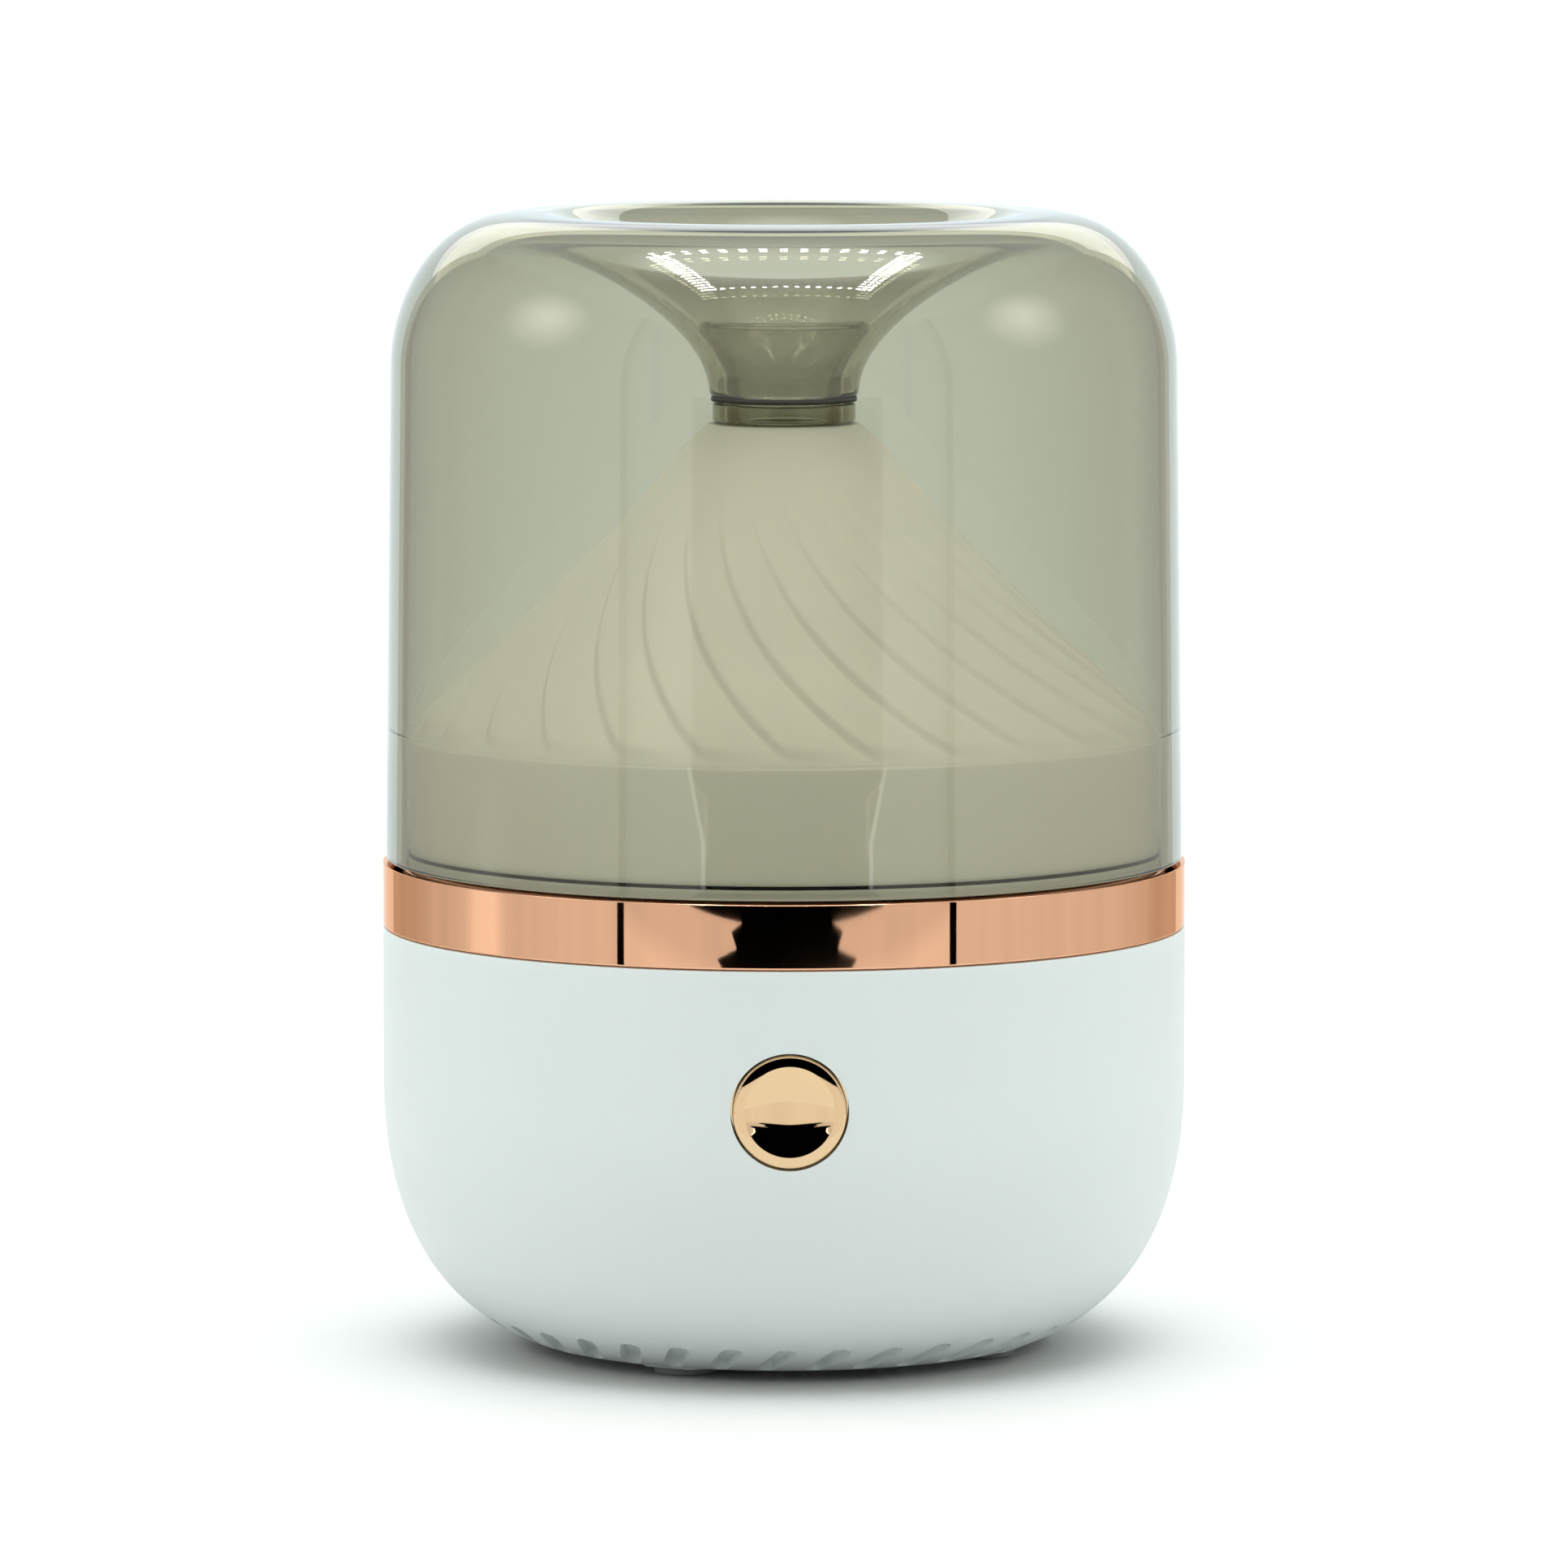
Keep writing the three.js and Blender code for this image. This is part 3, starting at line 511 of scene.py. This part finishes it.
def shade_outside():
    """Up the skirt, along the flank, and over the mouth's lip."""
    skirt = [(SHADE_R - 0.06, SKIRT_FOOT_Z), (SHADE_R, 56.39), (SHADE_R, 57.1), (SHADE_R, 60), (SHADE_R, 63),
             (SHADE_R, 66), (SHADE_R, 68.6), (SHADE_R, 68.9), (41.95, 69.1), (41.86, 69.3), (41.8, 69.5)]
    line = [(41.6, 69.85), (37.5, 73.7), (33, 77.9), (28.4, 82.4), (23.3, 87.6), (18.3, 92.8), (14.5, 97.2),
            (11.2, 101.1), (9.0, 103.2)]
    flank = []
    for p, q in zip(line, line[1:]):
        parts = max(1, round(math.dist(p, q) / FLANK_STEP))
        flank += [(lerp(p[0], q[0], i / parts), lerp(p[1], q[1], i / parts)) for i in range(parts)]
    lip = [(9.0, 103.2), (8.75, 103.5), (8.4, SHADE_TOP_Z), (6.8, SHADE_TOP_Z)]
    return skirt + flank + lip


SHADE_OUTSIDE = shade_outside()
SHADE_INSIDE = [(6.6, 103.5), (6.6, 103.1), (10.1, 99.9), (13.5, 95.8), (17.2, 91.6), (22.2, 86.4), (27.2, 81.2),
                (33.8, 74.7), (40.4, 68.3), (40.4, SKIRT_FOOT_Z)]


def petal_shape(r, z, a, j):
    """Turn the columns round as they climb, and raise a petal with one sharp edge in each."""
    sweep = min(r - SHADE_R, 0) * PETAL_SWEEP
    if j >= len(SHADE_OUTSIDE) or r >= 41.9 or r < 12:
        return r, z, a + sweep
    u = (a * PETALS / TAU + 1e-6) % 1.0
    height = PETAL_HEIGHT * smoothstep(13, 34, r)
    body = smoothstep(0, 0.16, u) * (1 - u ** 1.7)
    foot = smoothstep(41.5, 40.5 - 1.5 * abs(2 * (u - 0.42)) ** 2, r)
    lift = height * (body * foot - 0.42)
    return r + lift * 0.69, z + lift * 0.72, a + sweep


PETAL_TICKS = [0, 0.025, 0.05, 0.075, 0.1, 0.125, 0.15, 0.18, 0.23, 0.3, 0.38, 0.46, 0.54, 0.62, 0.7, 0.77, 0.84,
               0.9, 0.95, 0.98]
PETAL_ANGLES = [TAU * (k + t) / PETALS for k in range(PETALS) for t in PETAL_TICKS]

shade = lathe("shade", SHADE_OUTSIDE + SHADE_INSIDE, SHADE, angles=PETAL_ANGLES, shape=petal_shape)
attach(shade, "shade")
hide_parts("mountain_shade")

# ---------------------------------------------------------------- smoked cover and nozzle

COVER_FOOT_Z = 54.95
COVER_FOOT_R = 44.62
THROAT_R, THROAT_FOOT_Z = 6.75, 106.9
FUNNEL_TOP_R = 26.5
COVER_IN_R = 42.44  # at the foot


def cover_profile():
    """From the inside of the rim, up the wall, down the funnel, and back to the rim inside."""
    rim = [(COVER_IN_R, 55.4), (COVER_IN_R, 55.22), (42.46, 55.1), (42.6, COVER_FOOT_Z), (44.4, COVER_FOOT_Z),
           (44.55, 55.02), (COVER_FOOT_R, 55.15), (COVER_FOOT_R, 55.25)]
    wall = [(lerp(COVER_FOOT_R, 43.97, t / 14), lerp(56, 108.5, t / 14)) for t in range(15)]
    shoulder = bezier((43.95, 110), (43.95, 116.5), (40, COVER_TOP_Z), (29.5, COVER_TOP_Z), 40)
    crest = [(28.5, COVER_TOP_Z), (27.5, COVER_TOP_Z)]
    funnel = bezier((FUNNEL_TOP_R, COVER_TOP_Z), (21.5, 126.6), (8.6, 115.5), (THROAT_R, 108.5), 44)
    throat = [(THROAT_R, 107.8), (THROAT_R, 107.05), (6.85, 106.95), (7.0, THROAT_FOOT_Z), (8.0, THROAT_FOOT_Z),
              (8.15, 106.93), (8.27, 107.02)]
    funnel_back = bezier((8.3, 107.2), (9, 115), (23.5, 124.5), (28, 124.9), 40)
    shoulder_in = bezier((29, 124.98), (36.6, 125.4), (41.8, 118), (41.8, 109.5), 36)
    wall_in = [(lerp(41.82, 42.36, t / 10), lerp(108.5, 70.6, t / 10)) for t in range(11)]
    step_in = [(lerp(42.36, 42.42, smoothstep(0, 1, t / 6)), lerp(69.8, 69.4, t / 6)) for t in range(7)]
    foot_in = [(42.43, 66), (COVER_IN_R, 60)]
    return (rim + wall + shoulder + crest + funnel + throat + funnel_back + shoulder_in + wall_in + step_in
            + foot_in)


cover = lathe("cover", cover_profile(), SMOKE, steps=256)
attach(cover, "cover")
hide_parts("smoked_cover")


def eased(points, rounds=2):
    """Round an open line by cutting its corners, keeping both ends."""
    for _ in range(rounds):
        out = [points[0]]
        for p, q in zip(points, points[1:]):
            out.append((lerp(p[0], q[0], 0.25), lerp(p[1], q[1], 0.25)))
            out.append((lerp(p[0], q[0], 0.75), lerp(p[1], q[1], 0.75)))
        points = out + [points[-1]]
    return points


SLEEVE_R, BORE_R = 6.4, 5.2

cup_foot = [(BORE_R + 0.15, NOZZLE_FOOT_Z), (SLEEVE_R - 0.15, NOZZLE_FOOT_Z)]
cup_out = [(SLEEVE_R, 104.15), (SLEEVE_R, 106), (SLEEVE_R, 108.2), (6.45, 109.1), (6.85, 110), (7.28, 110.8),
           (7.93, 111.95), (8.68, 113.15), (9.35, 114.15), (NOZZLE_R, 114.7), (NOZZLE_R, 115.3), (9.4, 115.9),
           (9.0, NOZZLE_TOP_Z), (8.6, NOZZLE_TOP_Z)]
cup_in = [(8.2, NOZZLE_TOP_Z), (8.0, 116.2), (8.2, 115.7), (8.5, 115.2), (8.45, 114.6), (7.75, 113.4), (7.0, 112.2),
          (6.25, 111), (5.6, 109.9), (BORE_R, 108.6), (BORE_R, 106), (BORE_R, 104.15)]
nozzle = lathe("nozzle", cup_foot + eased(cup_out) + eased(cup_in), SMOKE_DEEP, steps=160)
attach(nozzle, "cover")
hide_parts("mist_nozzle")

RINGS_IN_R = 6.7  # the gasket and collar slip over the nozzle's sleeve
GASKET_R, GASKET_LOW_Z, GASKET_TOP_Z = 8.15, 106.2, 106.75

gasket = lathe("gasket", rounded([(RINGS_IN_R, GASKET_LOW_Z), (GASKET_R, GASKET_LOW_Z), (GASKET_R, GASKET_TOP_Z),
                                  (RINGS_IN_R, GASKET_TOP_Z)], 0.12, 4), SEAL, steps=128)
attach(gasket, "cover")
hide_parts("nozzle_gasket")

collar = lathe("collar", rounded([(RINGS_IN_R, NOZZLE_FOOT_Z), (COLLAR_R, NOZZLE_FOOT_Z), (COLLAR_R, COLLAR_TOP_Z),
                                  (RINGS_IN_R, COLLAR_TOP_Z)], 0.2, 5), SMOKE_DEEP, steps=128)
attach(collar, "cover")
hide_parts("nozzle_collar")

# ---------------------------------------------------------------- push button

DISH_R = 4.85
BUTTON_R = 6.22
# (radius, slope in degrees) from the dish's edge over the lip to the side.
LIP = [(DISH_R, 18.4), (5.0, -3), (5.88, -6), (6.0, -25), (6.13, -55), (BUTTON_R, -88)]


def face_tilt(r):
    """Slope of the face in degrees: a shallow bowl inside a lip that rolls over to the side."""
    if r < DISH_R:
        return 2.2 * r + 0.33 * r * r
    for (r0, t0), (r1, t1) in zip(LIP, LIP[1:]):
        if r <= r1:
            return lerp(t0, t1, (r - r0) / (r1 - r0))
    return LIP[-1][1]


def button_face():
    """Radius and height of each ring of the face, from the centre out to the side."""
    rings = [0.15 * i for i in range(32)] + [4.8 + 0.02 * i for i in range(72)]
    out = [(0, 0)]
    for r0, r1 in zip(rings, rings[1:]):
        out.append((r1, out[-1][1] + (r1 - r0) * math.tan(math.radians(face_tilt((r0 + r1) / 2)))))
    top = max(z for _, z in out)
    return [(r, z + BUTTON_FRONT - top) for r, z in out]


button_profile = [(0, BUTTON_BACK), (2, BUTTON_BACK), (2, 40.6), (BUTTON_FLANGE_R, 40.6), (BUTTON_FLANGE_R, 41.6),
                  (BUTTON_R, 41.6), (BUTTON_R, 42.5), (BUTTON_R, 43.8)] + button_face()[::-1]
button = lathe("button", button_profile, PALE_GOLD, steps=128, sharp=50)
button.data.transform(BUTTON_PLACE)
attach(button, "button")
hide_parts("button_cap")

# ---------------------------------------------------------------- feet

FOOT_R, FOOT_TOP_Z = 3.5, 2.3

for i in range(4):
    foot = lathe(f"pad_{i + 1}", rounded([(0, 0), (FOOT_R, 0), (FOOT_R, FOOT_TOP_Z), (0, FOOT_TOP_Z)],
                                         [0, 0.3, 0.15, 0], 5), RUBBER, steps=64)
    foot.data.transform(around(FOOT_CIRCLE, FOOT_TURN + 90 * i))
    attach(foot, "base")
    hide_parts(f"foot_{i + 1}")

# ---------------------------------------------------------------- base plate

PLATE_R, PLATE_LOW_Z, PLATE_TOP_Z = 28.7, 1.3, 3.9
FAN_Y = -5
STUD_REACH = 12.2
VENT_PITCH = 4

plate_profile = rounded([(0, PLATE_LOW_Z), (PLATE_R, PLATE_LOW_Z), (PLATE_R, PLATE_TOP_Z), (0, PLATE_TOP_Z)],
                        [0, 0.3, 0.15, 0], 5)
plate = lathe("plate", subdivide(plate_profile, 4), BASE_WHITE, steps=160)
for i in range(4):
    spot = around(FOOT_CIRCLE, FOOT_TURN + 90 * i)
    boss = lathe("boss_tool", rounded([(0, 0.9), (4.9, 0.9), (4.9, 2), (0, 2)], [0, 0.2, 0, 0], 4), BASE_WHITE,
                 steps=64)
    boss.data.transform(spot)
    clip = lathe("clip_tool", [(0, 0.2), (28.65, 0.2), (28.65, 4.5), (0, 4.5)], BASE_WHITE, steps=160)
    carve(boss, clip, "INTERSECT")
    carve(plate, boss, "UNION")
    carve_turned(plate, BASE_WHITE, [(0, 0), (3.75, 0), (3.75, 2.6), (0, 2.6)], spot, 64)
    sink = [(0, 0), (2.7, 0), (2.7, 2.9), (1.3, 2.9), (1.3, 5), (0, 5)]
    carve_turned(plate, BASE_WHITE, sink, around(SCREW_CIRCLE, SCREW_TURN + 90 * i), 48)
for side in (-1, 1):
    spot = at(STUD_REACH * side, FAN_Y + STUD_REACH * side, 0)
    carve_turned(plate, BASE_WHITE, [(0, 3), (2.5, 3), (2.5, 4.3), (0, 4.3)], spot, 40, "UNION")
    carve_turned(plate, BASE_WHITE, [(0, 2.2), (1.4, 2.2), (1.4, 5), (0, 5)], spot, 32)
for i in range(-2, 3):
    carve(plate, prism("vent_tool", stadium(19, 2), 6, at(0, FAN_Y + VENT_PITCH * i, -0.5), BASE_WHITE))
resharpen(plate, 38)
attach(plate, "base")
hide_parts("base_plate")

# ---------------------------------------------------------------- kept CAD pieces

KEPT = {
    "air_duct": TANK, "piezo_retainer": TANK, "piezo_seal": RUBBER,
    "piezo_disc": BRASS, "led_board": BOARD, "main_board": BOARD, "switch_board": BOARD,
    "inductor": COPPER, "capacitor": BLACK, "driver_chip": BLACK, "inlet_sleeve": STEEL,
    "inlet_tongue": BLACK, "switch_plunger": BLACK, "switch_housing": BLACK, "fan_frame": BLACK,
    "fan_rotor": BLACK, "fan_screw_1": STEEL, "fan_screw_2": STEEL, "lead_piezo": WIRE_RED,
    "lead_fan": WIRE_BLACK, "lead_switch": WIRE_BLACK,
}
for i in range(1, 5):
    KEPT[f"base_screw_{i}"] = STEEL
for i in range(1, 4):
    KEPT[f"retainer_screw_{i}"] = STEEL
for i in range(1, 7):
    KEPT[f"led_{i}"] = LED
for node, material in KEPT.items():
    obj = bpy.data.objects[node]
    for slot in obj.material_slots:
        slot.material = material

# ---------------------------------------------------------------- stage, light and camera


def flat_stage(name, outline, material, camera=False, diffuse=False):
    """A flat face outside the object: the floor, or a card that only mirrors and clear plastic show."""
    mesh = bpy.data.meshes.new(name)
    mesh.from_pydata(outline, [], [list(range(len(outline)))])
    obj = bpy.data.objects.new(name, mesh)
    bpy.context.scene.collection.objects.link(obj)
    mesh.materials.append(material)
    obj.visible_camera = camera
    obj.visible_diffuse = diffuse
    obj.visible_shadow = diffuse
    obj.visible_volume_scatter = False
    return obj


FLOOR_R = 4.0

floor_mat = plain("floor_white", (0.70, 0.695, 0.685), 0.6, vary=0.004, rough_vary=0.05, grain=300, bump=0.02,
                  specular=0.2)
disc = [(FLOOR_R * math.cos(TAU * i / 96), FLOOR_R * math.sin(TAU * i / 96), 0) for i in range(96)]
flat_stage("floor", disc, floor_mat, camera=True, diffuse=True)


def glow(name, color, strength, vary=0.0, rear=1.0, foot=1.0, spots=(), through=None):
    """A lit cloth panel: even light with faint upright folds.

    rear and foot scale it toward the back and near the floor. Each of spots adds a soft round glare:
    centre, strength, and the radii where it starts and ends to fade. through is the panel's strength
    where it is seen through clear plastic, and not in a mirror.
    """
    n = Nodes(name)
    n.tree.nodes.remove(n.bsdf)
    emission = n.new("ShaderNodeEmission")
    emission.inputs["Color"].default_value = (*color, 1)
    level = n.spread(n.noise(30, 3, (1, 1, 0.12)), strength * (1 - vary), strength * (1 + vary))

    def combined(operation, first, second):
        node = n.new("ShaderNodeMath", operation=operation)
        n.link(first, node.inputs[0])
        n.link(second, node.inputs[1])
        return node.outputs["Value"]

    place = n.new("ShaderNodeSeparateXYZ")
    n.link(n.coord.outputs["Object"], place.inputs["Vector"])
    if rear != 1.0:
        level = combined("MULTIPLY", n.spread(place.outputs["Y"], 1.0, rear, 0.0, 0.12), level)
    if foot != 1.0:
        level = combined("MULTIPLY", n.spread(place.outputs["Z"], foot, 1.0, 0.027, 0.031), level)
    for centre, gain, inner, outer in spots:
        away = n.new("ShaderNodeVectorMath", operation="DISTANCE")
        n.link(n.coord.outputs["Object"], away.inputs[0])
        away.inputs[1].default_value = centre
        level = combined("ADD", level, n.spread(away.outputs["Value"], gain, 0.0, inner, outer))
    if through is not None:
        path = n.new("ShaderNodeLightPath")
        mirrored = n.new("ShaderNodeMath", operation="GREATER_THAN")
        n.link(path.outputs["Glossy Depth"], mirrored.inputs[0])
        mirrored.inputs[1].default_value = 0.5
        choice = n.new("ShaderNodeMapRange")
        n.link(mirrored.outputs["Value"], choice.inputs["Value"])
        choice.inputs["To Min"].default_value = through
        n.link(level, choice.inputs["To Max"])
        level = choice.outputs["Result"]
    n.link(level, emission.inputs["Strength"])
    n.link(emission.outputs["Emission"], n.out.inputs["Surface"])
    return n.mat


def upright(name, x0, y0, x1, y1, z0, z1, material):
    return flat_stage(name, [(x0, y0, z0), (x1, y1, z0), (x1, y1, z1), (x0, y0, z1)], material)


# The tent: cards in front, at the sides and behind, in metres.
FRONT, SIDE, BACK, TALL = -0.180, 0.180, 0.250, 0.28
BACK_SPLIT = 0.19
SEAM_IN, SEAM_OUT = 0.1645, 0.177
CARD_GAP = 0.002
SEEN_THROUGH, BACK_SEEN_THROUGH = 1.1, 1.18
WARM_WHITE = (1.0, 1.0, 0.98)
HIGH_GLARE = [((side * SIDE, -0.051, 0.206), 3.0, 0.005, 0.055) for side in (-1, 1)]
LOW_GLARE = ((-SIDE, -0.015, 0.032), 0.35, 0.012, 0.026)

flag_mat = glow("flag_black", (0.92, 1.0, 1.0), 0.0, through=SEEN_THROUGH)
front_glow = glow("tent_front", WARM_WHITE, 0.84, 0.05, foot=1.22, through=SEEN_THROUGH)
right_glow = glow("tent_right", WARM_WHITE, 0.88, 0.08, rear=0.78, spots=[HIGH_GLARE[1]])
left_glow = glow("tent_left", WARM_WHITE, 0.88, 0.08, rear=0.74, spots=[HIGH_GLARE[0], LOW_GLARE])
back_glow = glow("tent_back", (0.90, 1.0, 1.03), 1.18, 0.02)
high_glow = glow("tent_back_high", (0.97, 1.0, 0.98), 2.0, 0.06, through=BACK_SEEN_THROUGH)
trim_glow = glow("tent_trim", (1.0, 1.0, 0.97), 2.8, 0.1, through=SEEN_THROUGH)
lamp_glow = glow("tent_lamps", (1.0, 0.98, 0.95), 60.0)

# Half width and height, in millimetres, of the ragged opening in the front cloth.
OPENING = [(50, 29.5), (56.3, 30.9), (39.8, 32.7), (44.2, 34.7), (35.1, 36.1), (81.3, 36.3), (78, 38.5), (67.1, 41),
           (67.1, 48.4), (81.5, 57.1), (81.5, 103)]
TRIM_EDGES = (7, 8)  # the stretches of it that have a bright hem
TRIM_WIDTH = 3.6

OPENING_LOW_X, OPENING_LOW_Z = OPENING[0][0] * MM, OPENING[0][1] * MM
OPENING_TOP_Z = OPENING[-1][1] * MM


def front_outline(side):
    """The opening's edge on one side of the front."""
    return [(side * x * MM, FRONT, z * MM) for x, z in OPENING]


flat_stage("front_opening", front_outline(1) + front_outline(-1)[::-1], flag_mat)
for side, label in ((1, "right"), (-1, "left")):
    beside = [(side * OPENING_LOW_X, FRONT, 0), (side * SIDE, FRONT, 0), (side * SIDE, FRONT, OPENING_TOP_Z)]
    flat_stage(f"front_{label}", beside + front_outline(side)[::-1], front_glow)
    for (xa, za), (xb, zb) in ((OPENING[i], OPENING[i + 1]) for i in TRIM_EDGES):
        hem = [(xa, za), (xa + TRIM_WIDTH, za), (xb + TRIM_WIDTH, zb), (xb, zb)]
        flat_stage(f"trim_{label}_{round(za)}", [(side * x * MM, FRONT + CARD_GAP, z * MM) for x, z in hem], trim_glow)
    upright(f"front_seam_{label}", side * SEAM_IN, FRONT + CARD_GAP, side * SEAM_OUT, FRONT + CARD_GAP, 0, TALL,
            flag_mat)
upright("front_low", -OPENING_LOW_X, FRONT, OPENING_LOW_X, FRONT, 0, OPENING_LOW_Z, front_glow)
upright("front_high", -SIDE, FRONT, SIDE, FRONT, OPENING_TOP_Z, TALL, front_glow)
upright("side_right", SIDE, FRONT, SIDE, BACK, 0, TALL, right_glow)
upright("side_left", -SIDE, FRONT, -SIDE, BACK, 0, TALL, left_glow)
upright("back", -SIDE, BACK, SIDE, BACK, 0, BACK_SPLIT, back_glow)
upright("back_high", -SIDE, BACK, SIDE, BACK, BACK_SPLIT, TALL, high_glow)

# Strips of small square lamps overhead: two rows behind, one in front, three down each side.
LAMP_Z, LAMP_HALF = 0.262, 0.0016
LAMP_FRONT_Y = -0.105

lamp_spots = [(lerp(-0.060, 0.060, i / 14), y) for i in range(15) for y in (0.012, 0.004)]
lamp_spots += [(lerp(-0.054, 0.054, i / 14), LAMP_FRONT_Y) for i in range(15)]
for side in (-1, 1):
    lamp_spots += [(side * (lerp(0.056, 0.053, i / 15) + x), lerp(0.0, LAMP_FRONT_Y, i / 15))
                   for i in range(16) for x in (0, 0.0045, 0.009)]
squares = bmesh.new()
for x, y in lamp_spots:
    squares.faces.new([squares.verts.new((x + dx * LAMP_HALF, y + dy * LAMP_HALF, LAMP_Z))
                       for dx, dy in ((-1, -1), (1, -1), (1, 1), (-1, 1))])
lamps = flat_stage("tent_lamps", [(0, 0, LAMP_Z), (0.001, 0, LAMP_Z), (0, 0.001, LAMP_Z)], lamp_glow)
squares.to_mesh(lamps.data)
squares.free()

LAMPS_THROUGH_COVER, LAMPS_MIRRORED = 0.5, 0.4  # shares of the overhead lamps' light
SKY_COLOR = (0.95, 1.0, 1.0)
BACKDROP = 1.05

world = bpy.data.worlds.new("tent")
bpy.context.scene.world = world
world.use_nodes = True
wt = world.node_tree
wt.nodes.clear()


def ramp(source, from_min, from_max, to_min, to_max):
    node = wt.nodes.new("ShaderNodeMapRange")
    node.interpolation_type = "SMOOTHSTEP"
    for key, value in (("From Min", from_min), ("From Max", from_max), ("To Min", to_min), ("To Max", to_max)):
        node.inputs[key].default_value = value
    wt.links.new(source, node.inputs["Value"])
    return node.outputs["Result"]


def math_node(operation, first, second):
    node = wt.nodes.new("ShaderNodeMath")
    node.operation = operation
    for socket, value in zip(node.inputs, (first, second)):
        if isinstance(value, (int, float)):
            socket.default_value = value
        else:
            wt.links.new(value, socket)
    return node.outputs["Value"]


def background(color, strength):
    node = wt.nodes.new("ShaderNodeBackground")
    node.inputs["Color"].default_value = (*color, 1)
    node.inputs["Strength"].default_value = strength
    return node


coordinates = wt.nodes.new("ShaderNodeTexCoord")
direction = wt.nodes.new("ShaderNodeSeparateXYZ")
wt.links.new(coordinates.outputs["Generated"], direction.inputs["Vector"])
path = wt.nodes.new("ShaderNodeLightPath")

sky = ramp(direction.outputs["Z"], 0.25, 0.85, 0.60, 1.0)
overhead = ramp(direction.outputs["Z"], 0.86, 0.95, 0.0, 4.6)
front = ramp(direction.outputs["Y"], -1.0, -0.5, -0.72, 0.0)
back = ramp(direction.outputs["Y"], 0.6, 1.0, 0.0, -0.12)
sides = ramp(math_node("ABSOLUTE", direction.outputs["X"], 0.0), 0.4, 1.0, 0.0, 0.13)
# The overhead lamps light every matt face, reach the shade under the cover, and show dimly in mirrors.
on_matt = math_node("SUBTRACT", 1.0, path.outputs["Is Glossy Ray"])
has_spread = math_node("GREATER_THAN", path.outputs["Diffuse Depth"], 0.5)
through_cover = math_node("MULTIPLY", has_spread, LAMPS_THROUGH_COVER)
share = math_node("MAXIMUM", on_matt, math_node("MAXIMUM", through_cover, LAMPS_MIRRORED))
strength = math_node("ADD", sky, math_node("MULTIPLY", overhead, share))
for part in (front, back, sides):
    strength = math_node("ADD", strength, part)

light = background(SKY_COLOR, 1.0)
wt.links.new(strength, light.inputs["Strength"])
seen = background((1, 1, 1), BACKDROP)
mix = wt.nodes.new("ShaderNodeMixShader")
world_out = wt.nodes.new("ShaderNodeOutputWorld")
wt.links.new(path.outputs["Is Camera Ray"], mix.inputs["Fac"])
wt.links.new(light.outputs["Background"], mix.inputs[1])
wt.links.new(seen.outputs["Background"], mix.inputs[2])
wt.links.new(mix.outputs["Shader"], world_out.inputs["Surface"])

CAMERA_TURN, CAMERA_DIP = math.radians(0.8), math.radians(6.07)
CAMERA_REACH, CAMERA_Z = 1.1557, 0.1859

camera_data = bpy.data.cameras.new("camera")
camera_data.sensor_width = 36
camera_data.lens = 237.86
camera_data.clip_start = 0.05
camera_data.clip_end = 20
camera = bpy.data.objects.new("camera", camera_data)
bpy.context.scene.collection.objects.link(camera)
camera.location = (-CAMERA_REACH * math.sin(CAMERA_TURN), -CAMERA_REACH * math.cos(CAMERA_TURN), CAMERA_Z)
camera.rotation_euler = (math.radians(90) - CAMERA_DIP, 0, -CAMERA_TURN)
bpy.context.scene.camera = camera
bpy.context.scene.view_settings.view_transform = "Standard"
# Light that has bounced off the shade leaves the cover as sharply as it came in.
bpy.context.scene.cycles.blur_glossy = 0.0
